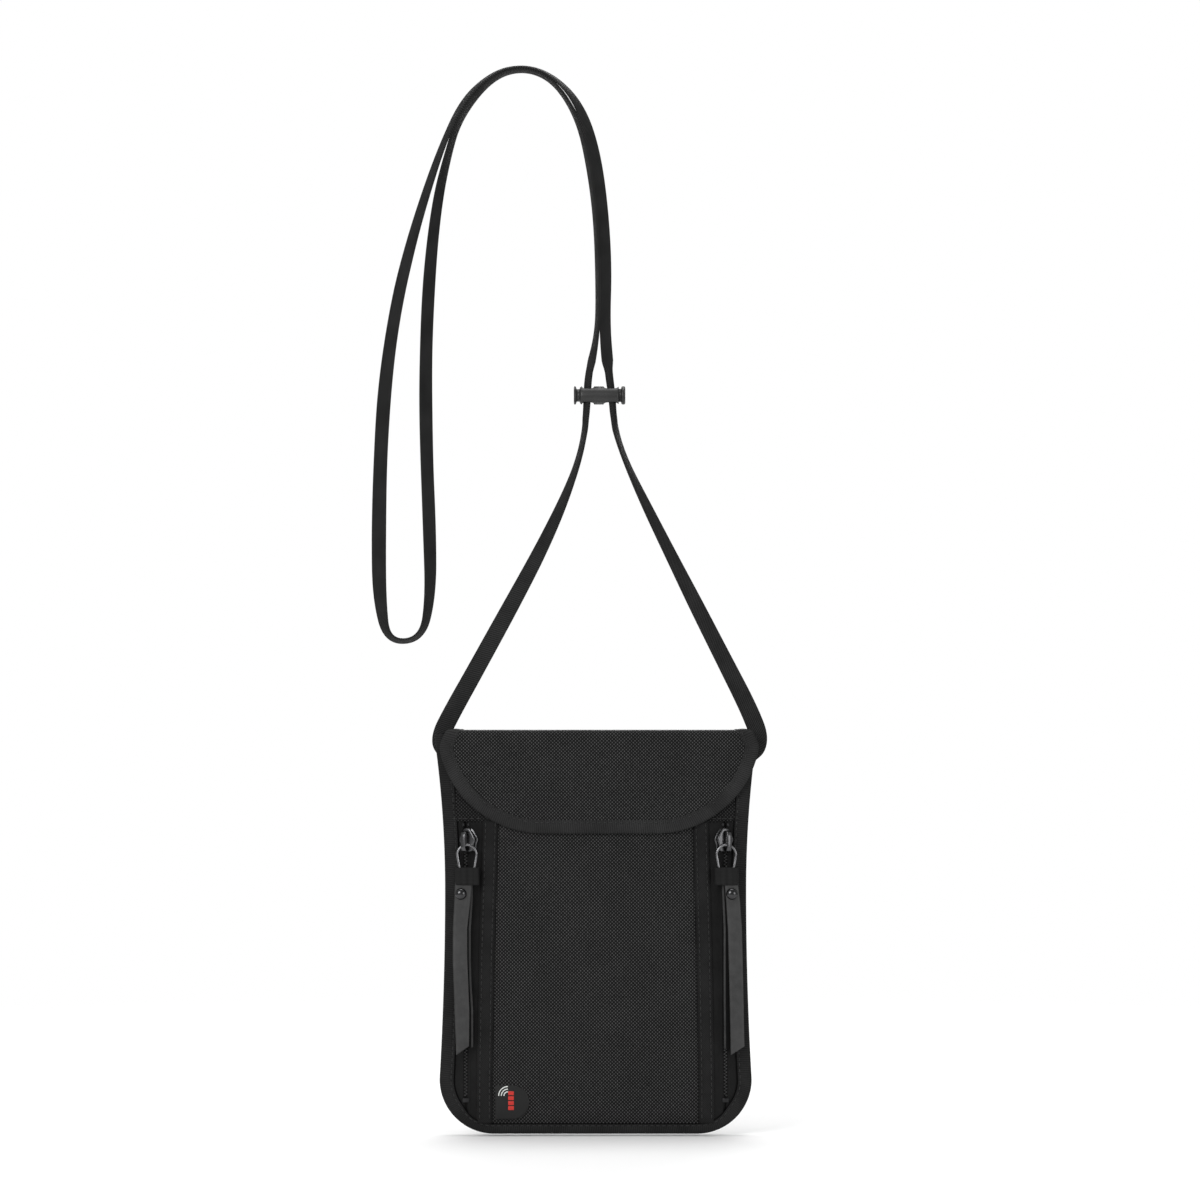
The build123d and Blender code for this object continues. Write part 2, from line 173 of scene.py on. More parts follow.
class Nodes:
    """A short way to write a material's node graph."""

    def __init__(self, name, base, roughness, **constants):
        self.material = bpy.data.materials.new(name)
        self.material.use_nodes = True
        self.tree = self.material.node_tree
        self.shader = self.tree.nodes["Principled BSDF"]
        self.shader.inputs["Base Color"].default_value = (*base, 1)
        self.shader.inputs["Roughness"].default_value = roughness
        for key, value in constants.items():
            self.shader.inputs[key.replace("_", " ")].default_value = value

    def link(self, a, b):
        self.tree.links.new(a, b)

    def feed(self, socket, value):
        """Set a socket to a number, or link another socket to it."""
        if isinstance(value, (int, float)):
            socket.default_value = value
        else:
            self.link(value, socket)

    def put(self, kind, **settings):
        node = self.tree.nodes.new("ShaderNode" + kind)
        for key, value in settings.items():
            setattr(node, key, value)
        return node

    def math(self, operation, *values, clamp=False):
        node = self.put("Math", operation=operation, use_clamp=clamp)
        for socket, value in zip(node.inputs, values):
            self.feed(socket, value)
        return node.outputs[0]

    def times(self, a, b, clamp=False):
        return self.math("MULTIPLY", a, b, clamp=clamp)

    def plus(self, a, b):
        return self.math("ADD", a, b)

    def times_plus(self, a, b, c):
        return self.math("MULTIPLY_ADD", a, b, c)

    def half_and_half(self, a, b):
        return self.times_plus(a, 0.5, self.times(b, 0.5))

    def sine(self, value, spacing):
        """A sine whose zeros are spacing apart."""
        return self.math("SINE", self.times(value, math.pi / spacing))

    def ridges(self, value, spacing, power=None):
        """Rounded ridges, spacing apart, between 0 and 1."""
        ridge = self.math("ABSOLUTE", self.sine(value, spacing))
        return self.math("POWER", ridge, power) if power else ridge

    def uv(self):
        """U and V of the cloth map, in millimetres."""
        split = self.put("SeparateXYZ")
        self.link(self.put("UVMap", uv_map="cloth").outputs["UV"], split.inputs[0])
        return self.times(split.outputs[0], 1 / MM), self.times(split.outputs[1], 1 / MM)

    def place(self):
        """Object coordinates, which are metres in the row frame."""
        return self.put("TexCoord").outputs["Object"]

    def noise(self, scale, detail=3.0, rough=0.55, stretch=None):
        node = self.put("TexNoise")
        node.inputs["Scale"].default_value = scale
        node.inputs["Detail"].default_value = detail
        node.inputs["Roughness"].default_value = rough
        source = self.place()
        if stretch:
            mapping = self.put("Mapping")
            mapping.inputs["Scale"].default_value = stretch
            self.link(source, mapping.inputs["Vector"])
            source = mapping.outputs[0]
        self.link(source, node.inputs["Vector"])
        return node.outputs["Fac"]

    def span(self, value, low, high, to_low, to_high, smooth=False):
        node = self.put("MapRange", interpolation_type="SMOOTHSTEP" if smooth else "LINEAR")
        for key, number in (("From Min", low), ("From Max", high), ("To Min", to_low), ("To Max", to_high)):
            node.inputs[key].default_value = number
        self.link(value, node.inputs["Value"])
        return node.outputs["Result"]

    def mix(self, factor, a, b):
        """A value between a and b; a and b are numbers or sockets."""
        node = self.put("Mix", data_type="FLOAT")
        for index, value in ((0, factor), (2, a), (3, b)):
            self.feed(node.inputs[index], value)
        return node.outputs[0]

    def color(self, factor, a, b):
        """A colour between a and b; a and b are RGB or sockets."""
        node = self.put("Mix", data_type="RGBA")
        self.link(factor, node.inputs[0])
        for socket, value in ((node.inputs[6], a), (node.inputs[7], b)):
            if isinstance(value, tuple):
                socket.default_value = (*value, 1)
            else:
                self.link(value, socket)
        return node.outputs[2]

    def base(self, socket):
        self.link(socket, self.shader.inputs["Base Color"])

    def greys(self, factor, dark, light):
        self.base(self.color(factor, grey(dark), grey(light)))

    def rough(self, value, low, high):
        """Roughness from low to high as a noise value rises."""
        self.link(self.span(value, *MID, low, high), self.shader.inputs["Roughness"])

    def bump(self, height, strength, distance):
        node = self.put("Bump")
        node.inputs["Strength"].default_value = strength
        node.inputs["Distance"].default_value = distance * MM
        self.link(height, node.inputs["Height"])
        self.link(node.outputs[0], self.shader.inputs["Normal"])


def grey(value, blue=1.0):
    return (value, value, value * blue)


def basket_weave(name, dark, light, period, roughness=0.62, specular=0.05, depth=0.20):
    """Ballistic nylon: thick yarns over and under, each rounded, in two tones."""
    m = Nodes(name, grey(dark), roughness, Specular_IOR_Level=specular)
    u, v = m.uv()
    u = m.plus(u, m.times(m.noise(9.0, 2.0), 0.5))
    wave_u, wave_v = m.sine(u, period), m.sine(v, period)
    over = m.span(m.times(wave_u, wave_v), -0.12, 0.12, 0.0, 1.0, smooth=True)
    dome_u, dome_v = (m.math("POWER", m.math("ABSOLUTE", wave), 0.6) for wave in (wave_u, wave_v))
    warp = m.times(dome_u, m.times_plus(dome_v, 0.4, 0.6))
    weft = m.times(dome_v, m.times_plus(dome_u, 0.4, 0.6))
    yarn = m.mix(over, weft, warp)
    strands = m.mix(over, m.ridges(v, period / 5), m.ridges(u, period / 5))
    patchy = m.noise(60.0, 4.0)
    tone = m.times(m.math("POWER", yarn, 1.6), m.mix(over, 0.14, 1.0))
    tone = m.times(tone, m.span(patchy, *MID, 0.92, 1.08))
    tone = m.times(tone, m.span(m.noise(900.0, 2.0), *MID, 0.75, 1.2), clamp=True)
    m.greys(tone, dark, light)
    m.rough(patchy, roughness + 0.06, roughness - 0.06)
    m.bump(m.times_plus(strands, 0.10, yarn), 0.9, depth)
    return m.material


def ribbed_tape(name, dark, light, period, slant=0.10, depth=0.12, seam_shade_v=99.0):
    """Grosgrain tape: ribs across it, fine yarns along it, and painted shade, near black, beyond a V where
    the tape meets the cloth at its seam.
    """
    roughness = 0.68
    m = Nodes(name, grey(dark), roughness, Specular_IOR_Level=0.05)
    u, v = m.uv()
    along = m.plus(m.plus(u, m.times(v, slant)), m.times(m.noise(120.0, 2.0), 0.5))
    rib = m.ridges(along, period, 0.7)
    yarns = m.ridges(v, 0.42)
    patchy = m.noise(70.0, 4.0)
    tone = m.times(m.times_plus(yarns, 0.4, m.times(rib, 0.6)), m.span(patchy, *MID, 0.7, 1.2), clamp=True)
    # painted shade: past that V the tape's colour falls to black
    tone = m.times(tone, m.span(m.math("ABSOLUTE", v), seam_shade_v - 0.3, seam_shade_v + 0.2, 1.0, 0.0))
    m.greys(tone, dark, light)
    m.rough(patchy, roughness + 0.06, roughness - 0.08)
    m.bump(m.times_plus(yarns, 0.35, rib), 0.8, depth)
    return m.material


def twill_tape(name, dark, light, pitch, angle, depth=0.14, strand=0.5):
    """Twill webbing: diagonal ridges broken into threads."""
    roughness = 0.6
    m = Nodes(name, grey(dark), roughness, Specular_IOR_Level=0.06)
    u, v = m.uv()
    ridge = m.ridges(m.plus(u, m.times(v, angle)), pitch, 0.8)
    threads = m.ridges(v, strand)
    patchy = m.noise(80.0, 3.0)
    tone = m.times(ridge, m.times_plus(threads, 0.5, 0.5))
    tone = m.times(tone, m.span(patchy, *MID, 0.75, 1.2), clamp=True)
    m.greys(tone, dark, light)
    m.rough(patchy, roughness + 0.06, roughness - 0.06)
    m.bump(m.times_plus(threads, 0.4, ridge), 0.85, depth)
    return m.material


def leather(name, dark, light, rim=0.0):
    """Black leather: pebble grain, soft wear, satin gloss. A rim leaves a lighter band along each edge as a
    painted highlight and paints the middle near black as painted shade.
    """
    m = Nodes(name, grey(dark), 0.5, Specular_IOR_Level=0.05 if rim else 0.36)
    cells = m.put("TexVoronoi", feature="F1")
    cells.inputs["Scale"].default_value = 1500.0
    m.link(m.place(), cells.inputs["Vector"])
    creases = m.noise(260.0, 6.0, 0.65)
    patchy = m.noise(45.0, 3.0, stretch=(1, 1, 0.35))
    wear = m.span(m.half_and_half(creases, patchy), *NARROW, 0.0, 1.0)
    color = m.color(wear, grey(dark), grey(light))
    # a rim paints light and shade: the strip's middle goes near black, as painted shade under the strip in
    # front of it, and each edge band keeps the lighter leather as a painted highlight
    if rim:
        inner = STRIP_MAP_HALF - rim
        edge = m.span(m.math("ABSOLUTE", m.uv()[0]), inner - 0.2, inner + 0.2, 0.0, 1.0, smooth=True)
        color = m.color(edge, grey(dark * 0.12), color)
    m.base(color)
    m.rough(patchy, 0.58, 0.42)
    m.bump(m.plus(m.times(cells.outputs["Distance"], -0.5), m.times(creases, 0.8)), 0.45, 0.12)
    return m.material


def metal(name, base, roughness):
    """Plated metal, faintly blue, with fine scratches and cloudy gloss."""
    blue = 1.03
    m = Nodes(name, grey(base, blue), roughness, Metallic=1.0)
    cloud = m.noise(140.0, 4.0)
    scratch = m.noise(700.0, 5.0, 0.7, stretch=(1, 1, 0.12))
    m.rough(m.half_and_half(scratch, cloud), roughness - 0.07, roughness + 0.10)
    m.base(m.color(m.span(cloud, *NARROW, 0.0, 1.0), grey(base * 0.75, blue), grey(base * 1.2, blue)))
    m.bump(scratch, 0.12, 0.03)
    return m.material


def moulded(name, dark, light, roughness, specular, depth=0.04):
    """Moulded plastic or rubber with a fine matt texture."""
    m = Nodes(name, grey(dark), roughness, Specular_IOR_Level=specular)
    texture = m.noise(1000.0, 4.0, 0.6)
    cloud = m.noise(90.0, 3.0)
    m.greys(m.span(cloud, *NARROW, 0.0, 1.0), dark, light)
    m.rough(m.half_and_half(texture, cloud), roughness + 0.07, roughness - 0.07)
    m.bump(texture, 0.5, depth)
    return m.material


def thread(name, dark, light):
    """Sewing thread: twisted plies."""
    m = Nodes(name, grey(dark), 0.5, Specular_IOR_Level=0.35)
    ply = m.ridges(m.plus(*m.uv()), 0.35)
    m.greys(m.times(ply, m.span(m.noise(400.0), *MID, 0.7, 1.2)), dark, light)
    m.bump(ply, 0.6, 0.06)
    return m.material


def print_ink(name, color, worn):
    """Raised printed rubber, a little uneven."""
    m = Nodes(name, color, 0.5, Specular_IOR_Level=0.4)
    speck = m.noise(1200.0, 3.0)
    m.base(m.color(m.span(speck, 0.4, 0.7, 0.0, 0.6), color, worn))
    m.bump(speck, 0.4, 0.03)
    return m.material


def pile(name, dark, light):
    """Hook and loop pile."""
    m = Nodes(name, grey(dark), 0.85, Specular_IOR_Level=0.15)
    hairs = m.noise(1500.0, 5.0, 0.7)
    m.greys(m.span(hairs, *NARROW, 0.0, 1.0), dark, light)
    m.bump(hairs, 1.0, 0.4)
    return m.material


BALLISTIC = basket_weave("ballistic_nylon", 0.0008, 0.066, 0.80)
BALLISTIC_SIDE = basket_weave("ballistic_nylon_side", 0.0008, 0.038, 0.78)
WELT = twill_tape("welt_twill", 0.001, 0.021, pitch=1.0, angle=1.0, strand=0.4, depth=0.10)
LINING = basket_weave("lining_taffeta", 0.008, 0.03, 0.28, roughness=0.5, specular=0.2, depth=0.05)
# its inner lip, past 6.35 mm in from the outline, and its hidden return are painted near black as painted
# shade along the seam
BINDING = ribbed_tape("binding_grosgrain", 0.001, 0.022, period=1.0, seam_shade_v=6.35)
FLAP_BINDING = ribbed_tape("flap_binding_grosgrain", 0.002, 0.031, period=1.0)
ZIP_TAPE = twill_tape("zip_tape_herringbone", 0.001, 0.016, pitch=0.7, angle=1.2, strand=0.35, depth=0.08)
WEBBING = twill_tape("strap_webbing", 0.002, 0.030, pitch=1.15, angle=0.9)
KEEPER = ribbed_tape("keeper_tape", 0.006, 0.016, period=0.6, slant=0.0, depth=0.05)
LEATHER = leather("black_leather", 0.014, 0.034)
# the tabs' back strip: painted shade across its middle, under the front strip, and a lighter painted
# highlight along each edge
SHADED_LEATHER_LIT_RIM = leather("leather_painted_shade_lit_rim", 0.026, 0.056, rim=0.9)
GUNMETAL = metal("gunmetal", 0.10, 0.26)
RING_METAL = metal("ring_metal", 0.20, 0.24)
STOP_METAL = metal("stop_metal", 0.03, 0.4)
RIVET_METAL = metal("rivet_metal", 0.06, 0.15)
SPRING_METAL = metal("spring_steel", 0.45, 0.28)
LOCK_PLASTIC = moulded("lock_plastic", 0.014, 0.024, 0.42, 0.40)
COIL = moulded("coil_nylon", 0.022, 0.036, 0.4, 0.3, depth=0.02)
BADGE_RUBBER = moulded("badge_rubber", 0.004, 0.007, 0.5, 0.25, depth=0.02)
THREAD = thread("dark_thread", 0.003, 0.02)
WHITE_INK = print_ink("white_ink", (0.62, 0.64, 0.62), (0.38, 0.39, 0.38))
RED_INK = print_ink("red_ink", (0.50, 0.018, 0.010), (0.26, 0.010, 0.008))
FOIL = metal("shield_foil", 0.5, 0.4)
PILE = pile("closure_pile", 0.006, 0.022)


# ---- Arrays of points ----
def joined(*coordinates):
    """Coordinates, broadcast together, as one array of points."""
    return np.stack(np.broadcast_arrays(*coordinates), axis=-1)


def unit(vectors):
    return vectors / np.linalg.norm(vectors, axis=-1, keepdims=True)


def arc_length(line):
    """Distance along a polyline at each of its points."""
    return np.concatenate([[0], np.cumsum(np.linalg.norm(np.diff(line, axis=0), axis=1))])


def circle(steps):
    return np.linspace(0, 2 * math.pi, steps, endpoint=False)


def squared_circle(steps, power_x, power_y):
    """Cosine and sine round a circle, each squared off by a power below 1."""
    return tuple(np.sign(f(circle(steps))) * np.abs(f(circle(steps))) ** power
                 for f, power in ((np.cos, power_x), (np.sin, power_y)))


def at_level(flat, y):
    """XZ points at a level, or at a level each."""
    return joined(flat[:, 0], y, flat[:, 1])


def plain_map(points):
    """A cloth map seen from the front."""
    return points[..., [0, 2]]


def spaced(line, step):
    """Points a step apart along a polyline, with their directions."""
    line = np.asarray(line, float)
    lengths = arc_length(line)
    at = np.arange(step / 2, lengths[-1], step)

    def on_line(places):
        return joined(*(np.interp(places, lengths, column) for column in line.T))

    return on_line(at), on_line(at + 0.3) - on_line(at - 0.3)


def smoothed(values, times):
    """Values averaged with their neighbours, ends kept."""
    for _ in range(times):
        values[1:-1] = (values[:-2] + 2 * values[1:-1] + values[2:]) / 4
    return values


def smoothstep(x, low, high):
    t = np.clip((np.asarray(x, float) - low) / (high - low), 0, 1)
    return t * t * (3 - 2 * t)


def ripple(x, z, seed, size):
    """Soft, slow unevenness of cloth, between about -1 and 1."""
    phases = np.random.default_rng(seed).uniform(0, 2 * math.pi, 12)
    total = np.zeros(np.broadcast(x, z).shape)
    for k in range(6):
        angle = phases[k]
        wave = 2 * math.pi / (size * (0.6 + 0.25 * k))
        total += np.sin((x * math.cos(angle) + z * math.sin(angle)) * wave + phases[k + 6])
    return total / 3.2


# ---- Meshes ----
def piece(name, points, faces, material, uvs, body="pouch", slot=None, replaces=()):
    """A smooth mesh object from points in millimetres, riding on a body. uvs are millimetres too."""
    mesh = bpy.data.meshes.new(name)
    mesh.from_pydata((np.asarray(points, float) * MM).tolist(), [], [tuple(map(int, f)) for f in faces])
    mesh.validate()
    layer = mesh.uv_layers.new(name="cloth")
    index = np.zeros(len(mesh.loops), np.int32)
    mesh.loops.foreach_get("vertex_index", index)
    layer.data.foreach_set("uv", (np.asarray(uvs, float)[index] * MM).ravel().astype(np.float32))
    mesh.polygons.foreach_set("use_smooth", [True] * len(mesh.polygons))
    mesh.materials.append(material)
    o = bpy.data.objects.new(name, mesh)
    bpy.context.scene.collection.objects.link(o)
    if body:
        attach(o, body)
    if replaces:
        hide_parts(*replaces)
    bm = bmesh.new()
    bm.from_mesh(mesh)
    bmesh.ops.recalc_face_normals(bm, faces=bm.faces)
    bm.to_mesh(mesh)
    bm.free()
    return o


def grid_faces(rows, columns, start=0, wrap_columns=False, wrap_rows=False):
    faces = []
    for i in range(rows if wrap_rows else rows - 1):
        for j in range(columns if wrap_columns else columns - 1):
            here, below = start + i * columns, start + (i + 1) % rows * columns
            beside = (j + 1) % columns
            faces.append((here + j, here + beside, below + beside, below + j))
    return faces


def closed_sheet(name, outer, inner, uv, material, **options):
    """Cloth with thickness: an outer and an inner grid of the same shape, joined round the rim."""
    rows, columns = outer.shape[:2]
    count = rows * columns
    faces = grid_faces(rows, columns)
    faces += [tuple(reversed(f)) for f in grid_faces(rows, columns, start=count)]
    rim = [(0, j) for j in range(columns)] + [(i, columns - 1) for i in range(1, rows)]
    rim += [(rows - 1, j) for j in range(columns - 2, -1, -1)] + [(i, 0) for i in range(rows - 2, 0, -1)]
    ids = [i * columns + j for i, j in rim]
    faces += [(a, b, b + count, a + count) for a, b in zip(ids, ids[1:] + ids[:1])]
    points = np.concatenate([outer.reshape(-1, 3), inner.reshape(-1, 3)])
    return piece(name, points, faces, material, np.concatenate([uv.reshape(-1, 2)] * 2), **options)


def tubes(name, parts, maps, material, closed_path=False, **options):
    """Tubes as one piece: each part is rings of points (n, m, 3), each map its (n, m, 2)."""
    faces, start = [], 0
    for rings in parts:
        n, m = rings.shape[:2]
        faces += grid_faces(n, m, start, wrap_columns=True, wrap_rows=closed_path)
        if not closed_path:
            last = start + (n - 1) * m
            faces += [tuple(range(start, start + m))[::-1], tuple(range(last, last + m))]
        start += n * m
    points = np.concatenate([rings.reshape(-1, 3) for rings in parts])
    return piece(name, points, faces, material, np.concatenate([uv.reshape(-1, 2) for uv in maps]), **options)


def swept(name, rings, uv, material, **options):
    return tubes(name, [rings], [uv], material, **options)


def lathe_x(name, profile, z, material, steps=64, **options):
    """A turned part round an axis along X: profile is (x, radius) from one end to the other."""
    x, radius = np.array(profile).T[..., None]
    turn = circle(steps)
    uv = joined(np.arange(len(x))[:, None], turn * 4)
    return swept(name, joined(x, radius * np.cos(turn), z + radius * np.sin(turn)), uv, material, **options)


THREAD_R = 0.24
# one stitch, end to end: place in its length, width and height in thread radii
STITCH_AT = np.array([-0.5, -0.42, -0.25, 0.0, 0.25, 0.42, 0.5])[:, None]
STITCH_WIDTH = np.array([0.25, 0.72, 0.95, 1.0, 0.95, 0.72, 0.25])[:, None] * THREAD_R
STITCH_LIFT = np.array([-1.1, -0.4, 0.25, 0.45, 0.25, -0.4, -1.1])[:, None] * THREAD_R


def stitches(name, anchors, directions, outward, length=2.0, **options):
    """Thread stitches: a flattened capsule at each anchor, along its direction."""
    turn = circle(6)
    along = STITCH_AT * length
    lift = STITCH_LIFT + STITCH_WIDTH * np.sin(turn)
    ahead = unit(np.asarray(directions, float))
    up = np.broadcast_to(np.asarray(outward, float), ahead.shape)
    parts = []
    for p, d, n, s in zip(np.asarray(anchors, float), ahead, up, unit(np.cross(ahead, up))):
        across = STITCH_WIDTH * np.cos(turn)
        parts.append(p + along[..., None] * d + across[..., None] * s + lift[..., None] * n)
    return tubes(name, parts, [joined(along, turn * THREAD_R)] * len(parts), THREAD, **options)


def rounded_box(name, low, high, radius, material, **options):
    """A box with rounded edges, as one mesh."""
    bm = bmesh.new()
    bmesh.ops.create_cube(bm, size=1.0)
    low, high = np.array(low, float), np.array(high, float)
    for v in bm.verts:
        v.co = Vector(((low + high) / 2 + np.array(v.co) * (high - low)).tolist())
    bmesh.ops.bevel(bm, geom=list(bm.edges) + list(bm.verts), offset=radius, segments=3, profile=0.5,
                    affect="EDGES")
    points = np.array([v.co for v in bm.verts])
    bm.verts.index_update()
    faces = [tuple(v.index for v in f.verts) for f in bm.faces]
    bm.free()
    uv = joined(points[:, 0] + 0.3 * points[:, 1], points[:, 2])
    return piece(name, points, faces, material, uv, **options)


def grid_between(low, high, zs, columns):
    """X and Z of a grid whose rows run between two limits, each given for every row."""
    low, high = np.broadcast_to(low, len(zs))[:, None], np.broadcast_to(high, len(zs))[:, None]
    x = low + (high - low) * np.linspace(0, 1, columns)
    return x, np.repeat(zs[:, None], columns, axis=1)


def sheet_at(x, z, y, thickness, name, material, **options):
    """A sheet from its outer face; a negative thickness goes forwards, for a rear face."""
    outer = joined(x, y, z)
    return closed_sheet(name, outer, outer + (0, thickness, 0), joined(x, z), material, **options)


# ---- Pouch outline ----
def half_width(z):
    z = np.asarray(z, float)
    radius = np.where(z > WAIST_Z, UPPER_SIDE_R, LOWER_SIDE_R)
    return WAIST_HALF + radius - np.sqrt(radius ** 2 - (z - WAIST_Z) ** 2)


def reach(z, inset):
    """Half-width at a level of the outline drawn in by an inset, round corners included."""
    radius = CORNER_R - inset
    low = np.clip(BOTTOM_Z + CORNER_R - np.asarray(z, float), 0, radius)
    return half_width(z) - inset - (radius - np.sqrt(np.maximum(radius ** 2 - low ** 2, 0)))


def inward(x, z):
    """Distance from the outline's sides and bottom, inwards."""
    side = half_width(z) - np.abs(x - CX)
    low = z - BOTTOM_Z
    corner = CORNER_R - np.hypot(CORNER_R - side, CORNER_R - low)
    return np.where((side < CORNER_R) & (low < CORNER_R), corner, np.minimum(side, low))


def front_y(x, z):
    """Level of the front fabric: pinched at the bound edge, a soft belly inside."""
    d = inward(x, z)
    belly = smoothstep(d, 14.0, 42.0) * (0.75 + 0.2 * ripple(x, z, 3, 60.0))
    pinch = smoothstep(d, 0.0, PINCH_W) * (FRONT_Y + EDGE_Y)
    return -EDGE_Y + pinch - belly * smoothstep(-z, 330.0, 380.0)


def back_y(x, z):
    d = inward(x, z)
    belly = smoothstep(d, 14.0, 46.0) * (0.9 + 0.25 * ripple(x, z, 5, 70.0))
    pinch = smoothstep(d, 0.0, 9.0) * (BACK_Y - EDGE_Y)
    return EDGE_Y + pinch + belly * smoothstep(-z, 318.0, 360.0)


def outline_path():
    """Points down the left side, along the bottom and up the right side, with inward normals."""
    side_z = np.linspace(TOP_Z, BOTTOM_Z + CORNER_R, 160)
    left = joined(CX - half_width(side_z), side_z)
    turn = np.linspace(math.pi, 1.5 * math.pi, 40)[1:]
    centre = (left[-1][0] + CORNER_R, BOTTOM_Z + CORNER_R)
    half = np.concatenate([left, centre + CORNER_R * joined(np.cos(turn), np.sin(turn))])
    mirrored = half[::-1] * (-1, 1) + (2 * CX, 0)
    line, _ = spaced(np.concatenate([half, mirrored]), 1.0)
    line = np.concatenate([half[:1], line, mirrored[-1:]])
    tangent = unit(np.gradient(line, axis=0))
    return line, joined(-tangent[:, 1], tangent[:, 0])


# ---- Strap ----
STRAP = [
    # x, y, z of the route, and the webbing's turn about it in degrees: 0 is face-on
    (-33.2, 7.0, -317.0, 0), (-34.7, 6.9, -312.0, 0), (-37.9, 6.8, -304.8, 2), (-31.4, 6.6, -292.0, 6),
    (-21.3, 6.4, -274.0, 15),
    (1.8, 4.2, -232.0, 32), (11.6, 3.0, -213.0, 46), (20.3, 1.6, -194.0, 63), (26.9, 0.6, -176.0, 74),
    (29.9, 0.0, -160.0, 75), (30.5, 0.0, -150.0, 64), (31.0, 0.0, -138.0, 58), (34.9, 0.3, -120.0, 77),
    (35.6, 0.5, -100.0, 75), (34.7, 0.5, -70.0, 75), (31.8, 0.5, -45.0, 77), (27.1, 0.5, -22.8, 78),
    (17.7, 0.5, -6.0, 81), (6.5, 0.5, 1.6, 84), (-6.5, 0.5, 1.6, 82), (-17.8, 0.5, -5.5, 71),
    (-28.8, 0.3, -21.2, 73), (-33.7, 0.2, -37.5, 73), (-38.4, 0.1, -58.0, 60), (-42.0, 0.0, -90.0, 53),
    (-43.8, 0.0, -130.0, 48), (-43.5, 0.0, -170.0, 47), (-41.9, 0.0, -210.0, 49), (-41.4, 0.0, -239.0, 56),
    (-45.2, 0.0, -259.4, 78), (-61.4, 0.0, -260.6, 76), (-64.9, 0.0, -241.0, 38), (-65.3, 0.0, -215.0, 36),
    (-64.6, 0.0, -177.0, 41), (-62.3, 0.0, -140.0, 42), (-57.3, 0.0, -106.0, 48), (-50.6, 0.0, -78.0, 53),
    (-43.4, 0.0, -54.0, 62), (-35.8, 0.0, -32.0, 73), (-27.5, 0.0, -13.5, 72), (-17.3, 0.0, -2.7, 76),
    (-6.5, 0.0, 3.2, 84), (6.5, 0.0, 3.2, 84), (18.1, 0.0, -3.5, 75), (27.3, 0.0, -15.3, 63),
    (33.0, 0.0, -33.0, 50), (37.0, 0.0, -58.0, 50), (38.9, 0.0, -88.0, 52), (38.3, 0.0, -115.0, 54),
    (39.8, 0.0, -135.0, 50), (41.5, 0.0, -148.0, 61), (42.3, 0.0, -160.0, 70), (46.8, 0.5, -175.0, 75),
    (55.6, 1.5, -194.2, 65), (74.5, 4.2, -232.0, 43), (92.9, 6.4, -268.2, 24), (104.8, 6.6, -291.5, 8),
    (110.4, 6.8, -306.2, 2), (104.0, 6.9, -314.2, 0), (102.2, 7.0, -318.0, 0),
]
STRAP_W = 8.3
STRAP_T = 1.05
LOCK_Z = -147.4
LOCK_SQUEEZE = 4.0        # how much narrower and thicker the webbing is inside the lock
LOCK_THICKENING = 0.9


def strap_line():
    """The centreline: a NURBS spline with the route's points as control points."""
    curve = bpy.data.curves.new("strap_route", "CURVE")
    curve.dimensions = "3D"
    spline = curve.splines.new("NURBS")
    spline.points.add(len(STRAP) - 1)
    for point, (x, y, z, _) in zip(spline.points, STRAP):
        point.co = (x * MM, y * MM, z * MM, 1.0)
    spline.order_u = 3
    spline.use_endpoint_u = True
    curve.resolution_u = 10
    route = bpy.data.objects.new("strap_route", curve)
    mesh = bpy.data.meshes.new_from_object(route)
    line = np.array([v.co for v in mesh.vertices], float) / MM
    bpy.data.meshes.remove(mesh)
    bpy.data.objects.remove(route)
    bpy.data.curves.remove(curve)
    steps = np.linalg.norm(np.diff(line, axis=0), axis=1)
    return line[np.concatenate([[True], steps > 1e-4])]


def strap_turn(line, along):
    """The webbing's turn along the line: each control point's turn holds at the nearest part, in order."""
    marks, first = [], 0
    for p in np.array(STRAP)[:, :3]:
        window = line[first:first + 40]
        first += int(np.argmin(np.linalg.norm(window - p, axis=1)))
        marks.append(along[first])
    turn = np.radians(np.interp(along, np.maximum.accumulate(marks), np.array(STRAP)[:, 3]))
    return np.convolve(np.pad(turn, 6, mode="edge"), np.ones(13) / 13, mode="valid")[:, None]


def make_strap():
    line = strap_line()
    along = arc_length(line)
    turn = strap_turn(line, along)
    tangent = unit(np.gradient(line, axis=0))
    flat = unit(np.cross(tangent, (0.0, 1.0, 0.0)))
    wide = flat * np.cos(turn) + np.cross(flat, tangent) * np.sin(turn)
    thick = np.cross(tangent, wide)
    # the webbing is squeezed narrower where it passes through the cord lock
    near_lock = (1 - smoothstep(np.abs(line[:, 2] - LOCK_Z), 10.0, 16.5)) * (line[:, 0] > 20)
    end = np.minimum(along, along[-1] - along)
    width = (STRAP_W - LOCK_SQUEEZE * near_lock) * (0.62 + 0.38 * smoothstep(end, 1.0, 11.0))
    depth = STRAP_T + LOCK_THICKENING * near_lock
    bow = 0.10 + 0.7 * near_lock
    px, py = squared_circle(28, 0.35, 0.6)
    wobble = 0.06 * np.sin(along / 9.0) + 0.05 * np.sin(along / 23.0 + 1)
    across = np.outer(width / 2, px)[..., None]
    lift = (np.outer(depth / 2, py) + np.outer(bow, 1 - px ** 2) + np.outer(wobble, px))[..., None]
    rings = line[:, None] + wide[:, None] * across + thick[:, None] * lift
    strap = swept("neck_strap_webbing", rings, joined(along[:, None], px * STRAP_W / 2), WEBBING,
                  slot="strap_webbing", replaces=["neck_strap"])
    return strap, line * MM, float(along[-1]) * MM


